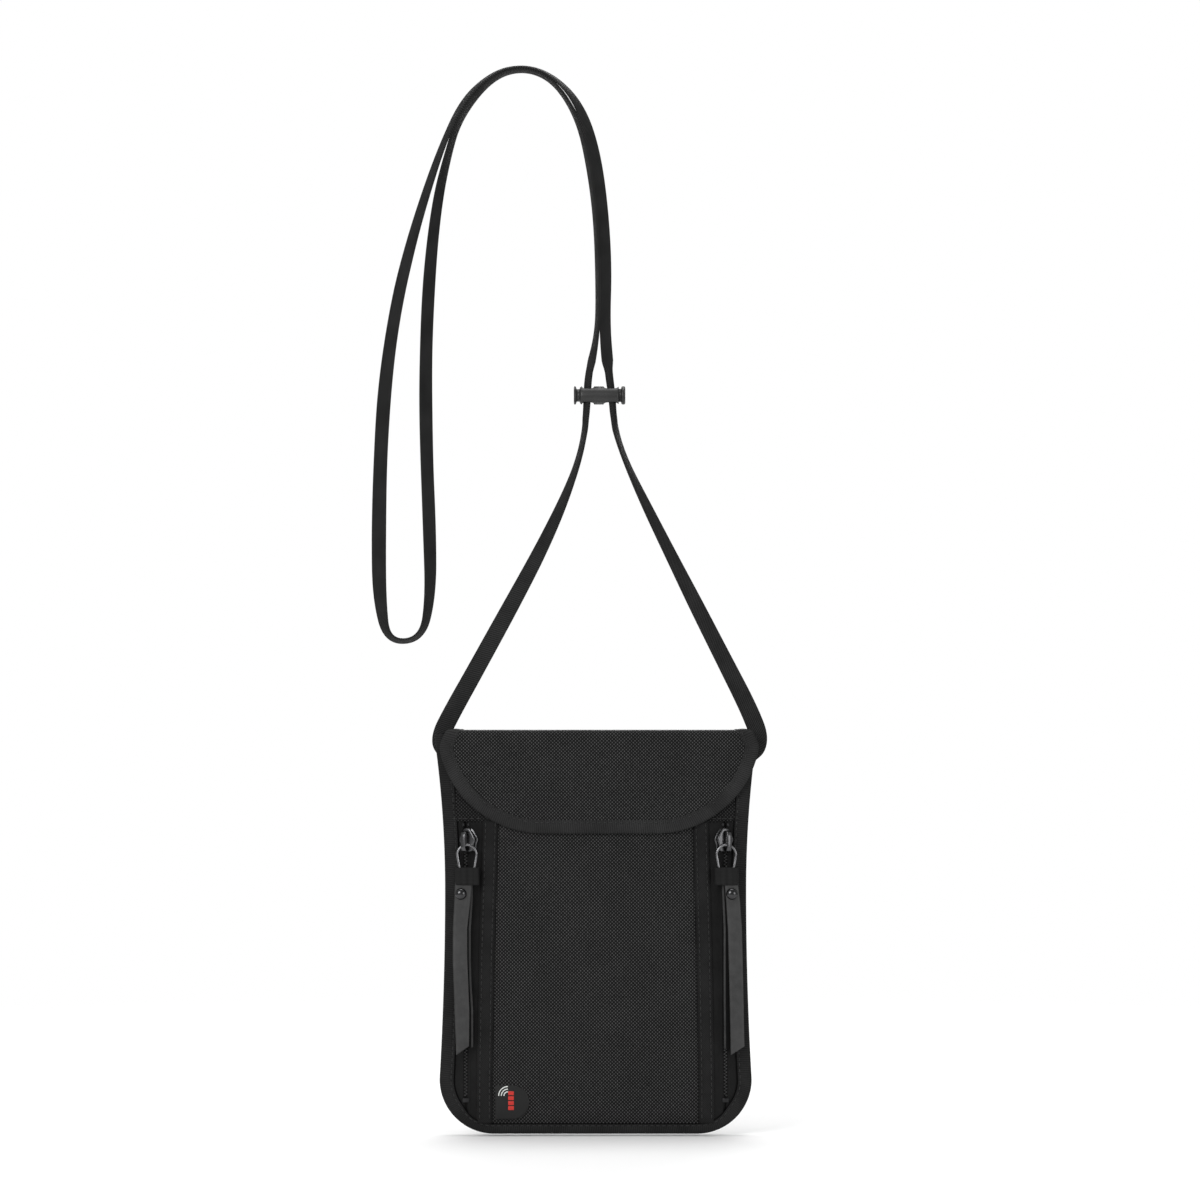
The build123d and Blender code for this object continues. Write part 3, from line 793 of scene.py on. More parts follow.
STRAP_END_TOP = -303.6
STRAP_END_BOTTOM = -317.5
STRAP_END_HALF = 4.4
STRAP_END_SLANT = 0.10
STRAP_END_Y = 8.15
STRAP_END_T = 1.3
STRAP_END_IN = 3.5        # from the anchor's middle towards the pouch's
STRAP_END_BOX = ((-3.2, -305.4), (3.2, -305.4), (3.2, -315.6), (-3.2, -315.6))      # the sewn box, x and z


def make_strap_ends():
    """Each strap end is turned up behind the pouch's corner and sewn with a boxed cross."""
    for side, name in SIDES:
        node = f"{name}_strap_anchor"
        low, high = box_of(node)
        cx = (low.x + high.x) / 2 - side * STRAP_END_IN
        z = np.linspace(STRAP_END_TOP, STRAP_END_BOTTOM, 22)[:, None]
        s = np.linspace(-1, 1, 16)
        x = cx + s * STRAP_END_HALF + side * STRAP_END_SLANT * (z - STRAP_END_TOP)
        end = np.minimum(z - STRAP_END_BOTTOM, STRAP_END_TOP - z)
        edge = np.minimum(end, STRAP_END_HALF * (1 - np.abs(s)))
        outer = joined(x, STRAP_END_Y + 0.45 * smoothstep(edge, 0.0, 0.9) + 0.06 * np.sin(z * 1.3 + s), z)
        uv = joined(z, s * STRAP_END_HALF)
        closed_sheet(f"{name}_strap_end_patch", outer, outer - (0, STRAP_END_T, 0), uv, WEBBING,
                     slot="strap_webbing", replaces=[node])
        corners = [(cx + dx + side * STRAP_END_SLANT * (v - STRAP_END_TOP), v)
                   for dx, v in STRAP_END_BOX]
        flat, heading = spaced([corners[k] for k in (0, 1, 2, 3, 0, 2, 1, 3)], 2.0)
        stitches(f"{name}_strap_end_stitches", at_level(flat, STRAP_END_Y + 0.5), at_level(heading, 0),
                 (0, 1, 0), length=1.6, slot="strap_webbing")


# ---- Pouch front ----
WELT_W = 7.6
WELT_ROWS = (1.6, 6.0)    # its two rows of topstitching, from the seam


def seam_x(z):
    """The seam between centre panel and welt, drawn in towards the flap."""
    return np.interp(z, [-470, -462, -402, -347, -303], [47.0, 47.0, 46.0, 44.4, 43.4])


def puckered(z, from_seam, depth=0.12):
    """Small puckers beside a stitched seam."""
    return depth * np.exp(-np.abs(from_seam) / 3.0) * np.sin(z * 2 * math.pi / 2.6 + 0.7 * np.sin(z / 5.0))


def make_front():
    zs = np.linspace(TOP_Z - 0.8, BOTTOM_Z + 1.6, 150)
    half = seam_x(zs) + SEAM_GAP
    x, z = grid_between(CX - half, CX + half, zs, 90)
    edge = seam_x(z) + SEAM_GAP - np.abs(x - CX)
    y = front_y(x, z) + 0.8 * (1 - smoothstep(edge, 0.0, 1.3)) + puckered(z, edge - 1.2)
    front = sheet_at(x, z, y, CLOTH_T, "front_panel_cloth", BALLISTIC, slot="ballistic_fabric",
                     replaces=["front_center_panel"])
    for side, name in SIDES:
        make_side_top(side, name)
        make_welt(side, name)


def make_side_top(side, name):
    """The upper side panel, down to the folded edge over the zip."""
    zs = np.linspace(TOP_Z - 0.8, ZIP_WINDOW_TOP_Z, 46)
    x, z = grid_between(CX + side * (seam_x(zs) - 0.3), CX + side * reach(zs, 1.6), zs, 30)
    low_edge = z - ZIP_WINDOW_TOP_Z
    y = front_y(x, z) - 0.35 + 0.7 * (1 - smoothstep(low_edge, 0.0, 1.1)) + puckered(x, low_edge - 1.6)
    y = y + 0.12 * ripple(x, z, 11 + side, 26.0)
    sheet_at(x, z, y, CLOTH_T, f"{name}_side_top_cloth", BALLISTIC_SIDE, slot="ballistic_fabric",
             replaces=[f"{name}_upper_side_panel"])
    flat, _ = spaced([(CX + side * end, ZIP_WINDOW_TOP_Z + 1.9) for end in (52.5, 66.5)], STITCH_PITCH)
    stitches(f"{name}_side_top_stitches", at_level(flat, front_y(*flat.T) - 0.5), [(1, 0, 0)] * len(flat),
             (0, -1, 0), slot="ballistic_fabric")


def make_welt(side, name):
    """Zip welt: seam side turned under, free edge folded, two rows of topstitching."""
    zs = np.linspace(ZIP_WINDOW_TOP_Z + 1.0, BOTTOM_Z + 5.0, 130)
    x, z = grid_between(CX + side * (seam_x(zs) + 0.05), CX + side * (seam_x(zs) + WELT_W), zs, 24)
    width = np.abs(x - CX) - seam_x(z)
    fold = smoothstep(width, 0.0, 1.2) * (1 - 0.75 * smoothstep(width, WELT_W - 1.0, WELT_W))
    y = front_y(x, z) + 0.45 - 1.1 * fold + puckered(z, width - 1.9, 0.07) + puckered(z, width - 6.0, 0.07)
    sheet_at(x, z, y, 0.45, f"{name}_welt_cloth", WELT, slot="welt_fabric", replaces=[f"{name}_zip_welt"])
    row, v = np.meshgrid(WELT_ROWS, np.arange(ZIP_WINDOW_TOP_Z - 1.0, BOTTOM_Z + 7.5, -2.9), indexing="ij")
    px = CX + side * (seam_x(v) + row)
    ways = joined(side * (seam_x(v - 0.5) - seam_x(v + 0.5)), 0, -1)
    anchors = joined(px, front_y(px, v) - 0.80, v).reshape(-1, 3)
    stitches(f"{name}_welt_stitches", anchors, ways.reshape(-1, 3), (0, -1, 0), slot="welt_fabric")


# ---- Zips ----
TOOTH_PITCH = 1.52
TAPE_IN = 2.0             # the tape's far edge, in from the pouch's outline
TOOTH_GAP = 0.12          # between the two tapes, each side of the chain's line
TOOTH = ((-0.10, 0.10), (0.0, 0.28), (0.2, 0.37), (0.45, 0.37), (0.7, 0.28), (0.8, 0.1))      # place, radius
STOP_IN = 0.3
STOP_BEAD_IN = 0.6
STOP = ((0.0, 0.32), (0.12, 0.5), (0.45, 0.62), (1.2, 0.62), (1.55, 0.5), (1.7, 0.32))        # depth, radius


def make_zips():
    for side, name in SIDES:
        last = BOTTOM_Z + 2.2
        levels = np.linspace(last, BOTTOM_Z + 30.0, 400)
        outer_last = float(levels[np.argmax(reach(levels, TAPE_IN) > ZIP_X + 0.8)])
        for row, end in (("inner", last), ("outer", outer_last)):
            zs = np.linspace(ZIP_WINDOW_TOP_Z + 1.5, end, 120)
            near_x, far_x = seam_x(zs) + 3.0, np.minimum(ZIP_X - TOOTH_GAP, reach(zs, TAPE_IN))
            if row == "outer":
                near_x, far_x = ZIP_X + TOOTH_GAP, reach(zs, TAPE_IN)
            x, z = grid_between(CX + side * near_x, CX + side * far_x, zs, 26)
            near = np.abs(np.abs(x - CX) - ZIP_X)
            y = front_y(x, z) + 0.30 - 0.36 * np.exp(-((near - 1.5) / 0.6) ** 2)
            y = y + 0.45 * (1 - smoothstep(near, 0.5, 0.95)) + 0.03 * np.sin(z * 2 * math.pi / TOOTH_PITCH)
            sheet_at(x, z, y, 0.5, f"{name}_tape_{row}_cloth", ZIP_TAPE, slot="zip_tape",
                     replaces=[f"{name}_zip_tape_{row}"])
        make_teeth(side, name)
        make_stops(name)


def make_teeth(side, name):
    """A nylon coil: each row is a line of rounded teeth, and the two rows mesh."""
    top = CHAIN_TOP_Z - 2.0
    place, radius = np.array(TOOTH).T[..., None]
    turn = circle(8)
    for row, direction, phase in (("inner", -1, 0.0), ("outer", 1, 0.5)):
        tooth = joined(CX + side * ZIP_X + side * direction * place,
                       FRONT_Y + 0.10 - 0.95 * radius * np.sin(turn), top + radius * np.cos(turn))
        count = int((top - CHAIN_BOTTOM_Z) / TOOTH_PITCH)
        parts = [tooth - (0, 0, (k + phase) * TOOTH_PITCH) for k in range(count)]
        tubes(f"{name}_coil_{row}_teeth", parts, [joined(place, turn)] * count, COIL, slot="zip_coil",
              replaces=[f"{name}_zip_coil_{row}"])


def make_stops(name):
    """Small clamped metal stops at the chain's ends."""
    low, high = box_of(f"{name}_zip_bottom_stop")
    rounded_box(f"{name}_bottom_stop_clamp", (low.x + STOP_IN, FRONT_Y - 0.55, low.z),
                (high.x - STOP_IN, high.y, high.z), 0.35, STOP_METAL, slot="gunmetal",
                replaces=[f"{name}_zip_bottom_stop"])
    low, high = box_of(f"{name}_zip_top_stops")
    down, radius = np.array(STOP).T[..., None]
    turn = circle(14)
    parts = [joined(centre + radius * np.cos(turn) * 0.95, FRONT_Y - 0.45 - radius * np.sin(turn) * 0.95,
                    high.z - down) for centre in (low.x + STOP_BEAD_IN, high.x - STOP_BEAD_IN)]
    tubes(f"{name}_top_stop_clamps", parts, [joined(turn, down)] * 2, STOP_METAL, slot="gunmetal",
          replaces=[f"{name}_zip_top_stops"])


# ---- Edge binding ----
BINDING_PROFILE = (
    # distance in from the outline, height above the fabric, as far as the edge
    (6.9, 0.02), (6.75, 0.34), (6.2, 0.46), (5.75, 0.40), (5.35, 0.22), (4.95, 0.42), (4.2, 0.62),
    (3.2, 0.72), (2.2, 0.72), (1.2, 0.62), (0.5, 0.42),
)
# the tape's inner return, hidden between the layers: distances in from the outline, and depth under the cloth
RETURN_IN = (6.6, 2.0)
RETURN_DEPTH = 0.25
BINDING_STITCH_IN = 5.35
BINDING_EDGE_Y = 2.9


def make_edge_binding():
    line, normal = outline_path()
    along = arc_length(line)
    wave = 0.05 * np.sin(along * 2 * math.pi / STITCH_PITCH) + 0.04 * ripple(along, 0.0, 21, 12.0)
    slow = 0.12 * ripple(along, 0.0, 22, 40.0)
    # the tape looks narrower along the bottom
    narrow = 1 - 0.26 * smoothstep(normal[:, 1], 0.6, 0.98)
    rings, maps = [], []

    def ring(inset, level, across):
        at = line + normal * np.broadcast_to(inset, len(line))[:, None]
        rings.append(at_level(at, level(*at.T)))
        maps.append(joined(along, across))

    def outside(profile, surface, out):
        for d, height in profile:
            lift = out * (height + wave * (0.4 if d < 1.5 else 1.0))
            ring(d * narrow + slow * (d > 4), lambda x, z: surface(x, z) + lift, out * d)

    outside(BINDING_PROFILE, front_y, -1)
    for share, d in ((-0.62, 0.10), (-0.25, 0.0), (0.25, 0.0), (0.62, 0.10)):
        ring(d, lambda x, z: BINDING_EDGE_Y * share, 1.6 * share)
    outside(BINDING_PROFILE[::-1], back_y, 1)
    for d in RETURN_IN:
        ring(d * narrow, lambda x, z: back_y(x, z) - RETURN_DEPTH, 9.0)
    for d in RETURN_IN[::-1]:
        ring(d * narrow, lambda x, z: front_y(x, z) + RETURN_DEPTH, 9.0)
    swept("edge_binding_tape", np.stack(rings, axis=1), np.stack(maps, axis=1), BINDING, slot="binding_tape",
          replaces=["edge_binding"])

    inside = line + normal * (BINDING_STITCH_IN * narrow)[:, None]
    flat, heading = spaced(inside[3:-3], STITCH_PITCH)
    for which, surface, out in (("front", front_y, -1), ("back", back_y, 1)):
        stitches(f"edge_binding_stitches_{which}", at_level(flat, surface(*flat.T) + out * 0.30),
                 at_level(heading, 0), (0, out, 0), slot="binding_tape")


# ---- Inside layers and back ----
MOUTH_HALF = 62.0
MOUTH_PROFILE = (
    # y, z round the rim of the main pocket, and back inside the tape
    (-5.2, -308.6), (-5.55, -308.2), (-5.6, -306.0), (-5.45, -304.0), (-4.7, -303.2), (-3.4, -303.0),
    (-2.1, -303.2), (-1.35, -304.0), (-1.2, -306.0), (-1.25, -308.4), (-1.6, -308.4), (-1.75, -304.6),
    (-3.4, -303.8), (-4.9, -304.6), (-5.1, -308.3),
)


def full_width(top, bottom, inset, rows, columns):
    """A grid as wide as the outline drawn in by an inset."""
    zs = np.linspace(TOP_Z - top, BOTTOM_Z + bottom, rows)
    return grid_between(CX - reach(zs, inset), CX + reach(zs, inset), zs, columns)


def make_inside():
    x, z = full_width(0.2, 2.0, 1.5, 80, 64)
    pinch = smoothstep(inward(x, z), 0.0, PINCH_W)
    sheet_at(x, z, -1.2 - 0.8 * pinch + 0.15 * ripple(x, z, 31, 45.0), 0.35, "pocket_divider_cloth", LINING,
             slot="lining_fabric", replaces=["pocket_divider"])
    sheet_at(x, z, 1.3 + 2.2 * pinch + 0.15 * ripple(x, z, 32, 45.0), 0.3, "rear_lining_cloth", LINING,
             slot="lining_fabric", replaces=["rear_lining"])
    x, z = full_width(4.0, 6.0, 4.5, 60, 48)
    pinch = smoothstep(inward(x, z), 0.0, PINCH_W)
    sheet_at(x, z, 2.0 + 2.1 * pinch + 0.05 * ripple(x, z, 33, 18.0), 0.2, "shield_foil_layer", FOIL,
             slot="shield_foil", replaces=["rfid_shield"])
    x = np.linspace(CX - MOUTH_HALF, CX + MOUTH_HALF, 125)[:, None]
    y, z = np.array(MOUTH_PROFILE).T
    rings = joined(x, y + 0.05 * np.sin(x * 2.3), z + 0.06 * np.sin(x * 1.1))
    # the binding's painted seam shade also darkens this tape's rings from the seventh on, where the map V
    # passes 6.35
    swept("mouth_binding_tape", rings, joined(x, np.arange(len(y)) * 1.2), BINDING, slot="binding_tape",
          replaces=["mouth_binding"])


def make_back():
    x, z = full_width(0.3, 1.6, 1.4, 130, 100)
    back = sheet_at(x, z, back_y(x, z), -CLOTH_T, "back_panel_cloth", BALLISTIC_SIDE, slot="ballistic_fabric",
                    replaces=["back_panel"])


# ---- Flap ----
FLAP_CX = CX + 1.6        # the flap hangs a little to one side
FLAP_TOP_HALF = 70.0
CREASE = 1.7              # outer radius of each crease
SEWN_Z = -313.5           # lower edge of the part sewn to the back panel
STRIP_Z = -300.8          # outer face over the top
FLAP_BACK_Y = 6.75
FLAP_FRONT_Y = -7.25
FLAP_EDGE_Z = -348.1
FLAP_CURVE_R = 48.0       # of the curve from each side to the lower edge
FLAP_CURVE_X = 26.0
FLAP_CURVE_TOP_Z = -307.6
FLAP_STEP = 0.8
FLAP_SEWN_HALF = 62.0
FLAP_STITCH_IN = 5.1
FLAP_TAPE = (
    # distance in from the edge, height above the outer face, right round the tape
    (6.3, 0.02), (6.15, 0.26), (5.6, 0.34), (5.1, 0.18), (4.6, 0.36), (3.4, 0.50), (2.0, 0.50), (0.9, 0.36),
    (0.15, -0.10), (0.0, -0.62), (0.15, -1.12), (0.9, -1.48), (3.0, -1.55), (5.6, -1.45), (6.3, -1.10),
    (6.2, -0.95), (1.6, -0.9), (1.6, -0.1), (6.2, -0.1),
)


def flap_profile():
    """Outer face from the sewn edge at the back, over the top, and down the front, as Y and Z."""
    crease_z = STRIP_Z - CREASE
    quarter = np.linspace(0, math.pi / 2, 9)

    def crease(y, turn):
        return joined(y + CREASE * np.cos(turn), crease_z + CREASE * np.sin(turn))

    line = np.concatenate([
        joined(FLAP_BACK_Y, np.arange(SEWN_Z, crease_z, FLAP_STEP)),
        crease(FLAP_BACK_Y - CREASE, quarter),
        joined(np.arange(FLAP_BACK_Y - CREASE - FLAP_STEP, FLAP_FRONT_Y + CREASE + 0.3, -FLAP_STEP), STRIP_Z),
        crease(FLAP_FRONT_Y + CREASE, quarter + math.pi / 2),
        joined(FLAP_FRONT_Y, np.arange(crease_z - FLAP_STEP, FLAP_EDGE_Z - 3, -FLAP_STEP)),
    ])
    return line, arc_length(line)


FLAP_LINE, FLAP_ARC = flap_profile()


def t_of_front(z):
    """Arc length along the flap's profile at a level of its front."""
    front = FLAP_LINE[:, 0] <= FLAP_FRONT_Y + CREASE
    return np.interp(-np.asarray(z, float), -FLAP_LINE[front, 1], FLAP_ARC[front])


# the middle of the strip over the top, where the fold's cloth ends and the flap's begins
T_SPLIT = float(np.interp(0.2, -FLAP_LINE[12:40, 0], FLAP_ARC[12:40]))
FOLD_EDGE_T = (0.0, 10.0, 13.5, T_SPLIT)
FOLD_EDGE_HALF = (64.4, 65.6, 68.6, FLAP_TOP_HALF - 0.6)


def flap_point(x, t, lift):
    """A point of the flap: x across, t along its profile, and lift above its outer face."""
    x, t, lift = np.broadcast_arrays(x, t, lift)
    y, z = (np.interp(t, FLAP_ARC, FLAP_LINE[:, k]) for k in (0, 1))
    dy, dz = (np.interp(t + 0.6, FLAP_ARC, FLAP_LINE[:, k]) - np.interp(t - 0.6, FLAP_ARC, FLAP_LINE[:, k])
              for k in (0, 1))
    size = np.hypot(dy, dz)
    # a soft belly and slow waves on the hanging part, fading towards the crease
    hang = smoothstep(t, T_SPLIT + 8.0, T_SPLIT + 30.0)
    lift = lift + hang * (0.22 * ripple(x, t, 41, 50.0) + 0.12 * np.cos((x - CX) / 28.0))
    return joined(x, y + dz / size * lift, z - dy / size * lift)


def flap_outline():
    """Half of the flap's edge in x and t, from over the top down to the middle of its lower edge."""
    centre_z = FLAP_EDGE_Z + FLAP_CURVE_R
    turn = np.linspace(math.asin((centre_z - FLAP_CURVE_TOP_Z) / FLAP_CURVE_R), math.pi / 2, 60)
    curve = joined(FLAP_CURVE_X + FLAP_CURVE_R * np.cos(turn),
                   t_of_front(centre_z - FLAP_CURVE_R * np.sin(turn)))
    top = [(FLAP_TOP_HALF - 0.6, T_SPLIT), (FLAP_TOP_HALF, float(t_of_front(-301.6)) - 0.6)]
    points = np.concatenate([top, curve, [(0.0, float(t_of_front(FLAP_EDGE_Z)))]])
    line, _ = spaced(points, FLAP_STEP)
    return smoothed(np.concatenate([points[:1], line, points[-1:]]), 16)


FLAP_EDGE = flap_outline()


def flap_rows(ts, inset):
    """Half-widths of rows across the flap, for the outline drawn in by an inset."""
    tangent = unit(np.gradient(FLAP_EDGE, axis=0))
    shifted = FLAP_EDGE + joined(-tangent[:, 1], tangent[:, 0]) * inset
    shifted = shifted[np.argsort(shifted[:, 1])]
    return np.maximum(np.interp(ts, shifted[:, 1], shifted[:, 0]), 8.0)


def flap_border():
    """The whole edge from left top to right top in x and t, with inward normals."""
    line = np.concatenate([FLAP_EDGE * (-1, 1), FLAP_EDGE[-2::-1]]) + (FLAP_CX, 0)
    tangent = unit(np.gradient(line, axis=0))
    return line, unit(smoothed(joined(tangent[:, 1], -tangent[:, 0]), 10))


def bound_edge(name, line, normal, **options):
    """Binding tape round an edge of the flap: line and inward normals in x and t."""
    along = arc_length(line)
    wave = 0.04 * np.sin(along * 2 * math.pi / 2.6)
    rings, maps = [], []
    for d, lift in FLAP_TAPE:
        rings.append(flap_point(*(line + normal * d).T, lift + wave * (lift > 0)))
        maps.append(joined(along, d if lift > -0.6 else -d))
    return swept(name, np.stack(rings, axis=1), np.stack(maps, axis=1), FLAP_BINDING, body=None,
                 slot="binding_tape", **options)


def flap_sheet(name, grid, lifts, material, **options):
    """A sheet of the flap between two lifts above its outer face; grid is x and t."""
    top, bottom = (flap_point(*grid, lift) for lift in lifts)
    return closed_sheet(name, top, bottom, joined(*grid), material, body=None, **options)


def make_fold():
    """The part over the top, sewn to the back panel."""
    ts = np.linspace(0.0, T_SPLIT, 34)
    half = np.interp(ts, FOLD_EDGE_T, FOLD_EDGE_HALF) - 1.2
    grid = grid_between(FLAP_CX - half, FLAP_CX + half, ts, 80)
    parts = [flap_sheet("flap_fold_cloth", grid, (0.0, -0.95), BALLISTIC, slot="ballistic_fabric",
                        replaces=["flap_fold"])]
    edge_t = np.arange(4.0, T_SPLIT + 0.4, FLAP_STEP)
    for side, name in SIDES:
        line = joined(FLAP_CX + side * np.interp(edge_t, FOLD_EDGE_T, FOLD_EDGE_HALF), edge_t)
        parts.append(bound_edge(f"{name}_fold_binding_tape", line, np.array([-side, 0.0])))
    for part in parts:
        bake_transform(part)
    row, x = np.meshgrid((1.6, 4.4), np.arange(FLAP_CX - FLAP_SEWN_HALF, FLAP_CX + FLAP_SEWN_HALF, 2.8),
                         indexing="ij")
    anchors = flap_point(x, row, 0.12).reshape(-1, 3)
    stitches("flap_back_stitches", anchors, [(1, 0, 0)] * len(anchors), (0, 1, 0), slot="ballistic_fabric")


def make_flap():
    """The part that hangs over the front: its rows follow the outline, drawn in under the binding."""
    inset = 2.2
    ts = np.linspace(T_SPLIT, float(t_of_front(FLAP_EDGE_Z)) - inset, 70)
    half = flap_rows(ts, inset)
    grid = grid_between(FLAP_CX - half, FLAP_CX + half, ts, 96)
    cloth = flap_sheet("flap_cloth", grid, (0.0, -0.65), BALLISTIC, slot="ballistic_fabric",
                       replaces=["flap_outer"])
    lining = flap_sheet("flap_lining_cloth", grid, (-0.72, -1.05), LINING, slot="lining_fabric",
                        replaces=["flap_lining"])
    binding = bound_edge("flap_binding_tape", *flap_border(), replaces=["flap_binding"])
    for o in (cloth, lining, binding, flap_stitches()):
        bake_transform(o)


def flap_stitches():
    line, normal = flap_border()
    flat, heading = spaced((line + normal * FLAP_STITCH_IN)[2:-2], 2.6)
    ahead = flap_point(*(flat + 0.3 * unit(heading)).T, 0.0)
    base, here, above = (flap_point(*flat.T, lift) for lift in (0.0, THREAD_R, THREAD_R + 1.0))
    return stitches("flap_binding_stitches", here, ahead - base, above - here, body=None, slot="binding_tape")


def make_closures():
    """The hooks under the flap face the pouch, and the loops on the pouch face the flap."""
    for node, body in (("closure_hook_strip", "flap"), ("closure_loop_strip", "pouch")):
        low, high = box_of(node)
        pile_y, rear_y = (-6.05, -6.45) if body == "flap" else (low.y, high.y - 0.6)
        x, z = np.meshgrid(np.linspace(low.x, high.x, 60), np.linspace(high.z, low.z, 24))
        tuft = 0.09 * np.sin(x * 5.1) * np.sin(z * 5.3)
        closed_sheet(f"{node}_pile", joined(x, pile_y + tuft, z), joined(x, rear_y, z), joined(x, z), PILE,
                     body=body, slot="closure_pile", replaces=[node])


# ---- Sliders, rings, leather tabs ----
YAW = math.radians(27)    # each slider lies turned outwards on its fabric
SLIDER_Y = -5.6
SLIDER_SHIFT = {"left": 0.35, "right": 0.2}
PULL_SHIFT = {"left": 0.6, "right": 0.3}
RING_WIRE_R = 0.58
RING_W = 8.8
# each plate's front level, rear level and bevel
FRONT_PLATE = (-7.35, -6.25, 0.32)
REAR_PLATE = (-3.6, -4.4, 0.25)
WEDGE_PLATE = (-6.6, -4.0, 0.1)
FLANGE_PLATE = (-6.6, -5.35, 0.1)
PLATES_INWARDS = 0.9
CROWN_INWARDS = 0.4
CROWN_HALF_W = 1.25
CROWN_HALF_T = 0.52
# x, z from the slider's middle and top
WEDGE = ((-0.5, -0.6), (0.5, -0.6), (0.9, -2.2), (0.25, -4.6), (-0.25, -4.6), (-0.9, -2.2))
CROWN = (
    # y, z of the bridge that holds the ring
    (-7.0, -347.0), (-8.3, -347.1), (-9.3, -347.7), (-9.75, -348.9), (-9.85, -350.6), (-9.85, -352.6),
    (-9.8, -354.2), (-9.3, -355.5), (-8.3, -356.1), (-7.0, -356.2),
)


def yawed(points, x, side, shift):
    """Turn points about an upright axis so that the front faces outwards, then move them inwards."""
    angle = -side * YAW
    dx, dy, z = points[..., 0] - x, points[..., 1] - SLIDER_Y, points[..., 2]
    return joined(x + dx * math.cos(angle) + dy * math.sin(angle) - side * shift,
                  SLIDER_Y - dx * math.sin(angle) + dy * math.cos(angle), z)


def plate(outline, y_front, y_rear, bevel):
    """A bevelled plate: rings of an XZ outline."""
    outline = np.asarray(outline, float)
    centre = outline.mean(axis=0)
    away = outline - centre
    size = np.linalg.norm(away, axis=1)[:, None]
    sign = 1 if y_rear > y_front else -1
    levels = ((bevel * 2.2, y_front), (bevel * 0.8, y_front + sign * 0.06), (0.0, y_front + sign * bevel),
              (0.0, y_rear - sign * bevel), (bevel, y_rear))
    return np.stack([at_level(centre + away * (1 - inset / size), y) for inset, y in levels])


def slider_outline(x, top, bottom):
    """Pointed at the top, widest in the middle, narrower at the bottom."""
    half = np.array([(0.0, top), (1.5, top - 0.5), (2.9, top - 2.6), (4.0, top - 4.8), (4.1, top - 6.0),
                     (3.3, top - 7.4), (3.2, bottom + 1.2), (2.6, bottom + 0.2), (1.2, bottom)])
    line = np.concatenate([half, half[::-1] * (-1, 1), half[:1]])
    dense, _ = spaced(line, 0.45)
    for _ in range(2):
        dense = (np.roll(dense, 1, 0) + 2 * dense + np.roll(dense, -1, 0)) / 4
    return dense + (x, 0)


def make_slider(side, name):
    """Two plates, the wedge between them, the front plate's turned-in flanges, and the crown."""
    low, high = box_of(f"{name}_slider_body")
    middle, top, bottom = (low.x + high.x) / 2, high.z, low.z
    x = middle + SLIDER_SHIFT[name]
    outline = slider_outline(x, top, bottom)
    parts = [plate(outline, *FRONT_PLATE), plate(outline, *REAR_PLATE),
             plate([(x + dx, top + dz) for dx, dz in WEDGE], *WEDGE_PLATE)]
    for flank in (-1, 1):
        flange = [(x + flank * dx, z) for dx, z in (
            (3.9, top - 5.0), (3.2, top - 7.6), (3.1, bottom + 1.0), (2.6, bottom + 1.0), (2.7, top - 7.2),
            (3.3, top - 5.0))]
        parts.append(plate(flange, *FLANGE_PLATE))
    parts = [yawed(rings, x, side, PLATES_INWARDS) for rings in parts]
    tubes(f"{name}_slider_shell", parts, [plain_map(rings) for rings in parts], GUNMETAL,
          body=f"{name}_slider", slot="gunmetal", replaces=[f"{name}_slider_body"])

    line, heading = spaced(CROWN, 0.35)
    (y, z), (dy, dz) = line.T[..., None], unit(heading).T[..., None]
    across, out = squared_circle(20, 0.7, 0.7)
    crown_top, crown_bottom = CROWN[0][1], CROWN[-1][1]
    wide = CROWN_HALF_W + 0.12 * np.sin((z - crown_top) / (crown_top - crown_bottom) * math.pi)
    out = out * CROWN_HALF_T
    rings = yawed(joined(x + across * wide, y - dz * out, z + dy * out), x, side, CROWN_INWARDS)
    swept(f"{name}_slider_bridge", rings, plain_map(rings), GUNMETAL, body=f"{name}_slider", slot="gunmetal",
          replaces=[f"{name}_slider_crown"])
    make_pull(name, middle + PULL_SHIFT[name])


def ring_line(x, top, bottom):
    """A D ring: round at the top, straight sides, nearly square foot."""
    half, foot = RING_W / 2, 1.4
    base = half - 0.95 - foot
    over = np.linspace(0, math.pi, 26)
    left, right = np.linspace(math.pi, 1.5 * math.pi, 7), np.linspace(1.5 * math.pi, 2 * math.pi, 7)
    arcs = [joined(x + half * np.cos(over), top - half + half * np.sin(over))]
    arcs += [joined(x + shift + foot * np.cos(turn), bottom + foot + foot * np.sin(turn))
             for shift, turn in ((-base, left), (base, right))]
    return spaced(np.concatenate(arcs + [arcs[0][:1]]), 0.45)


TAB_ROUTES = {
    # front strip: depth below the hanging point, x of its middle, half width
    # back strip: depth, x of its middle
    "left": (((360, -25.2, 2.6), (366, -25.8, 3.4), (371, -26.2, 3.9), (379, -26.7, 3.7), (391, -27.7, 3.3),
              (405, -27.7, 3.35), (429, -26.8, 3.4), (450, -26.5, 2.9)),
             ((360, -25.2), (372, -25.0), (379, -25.0), (391, -25.9), (405, -25.9), (415, -25.6),
              (429, -24.8), (450, -24.8))),
    "right": (((360, 93.8, 2.6), (366, 95.2, 2.9), (372, 96.3, 3.1), (379, 97.0, 3.2), (391, 97.8, 3.25),
               (420, 98.5, 3.2), (450, 99.1, 3.15)),
              ((360, 94.0), (372, 94.9), (391, 95.7), (420, 95.7), (450, 95.9))),
}
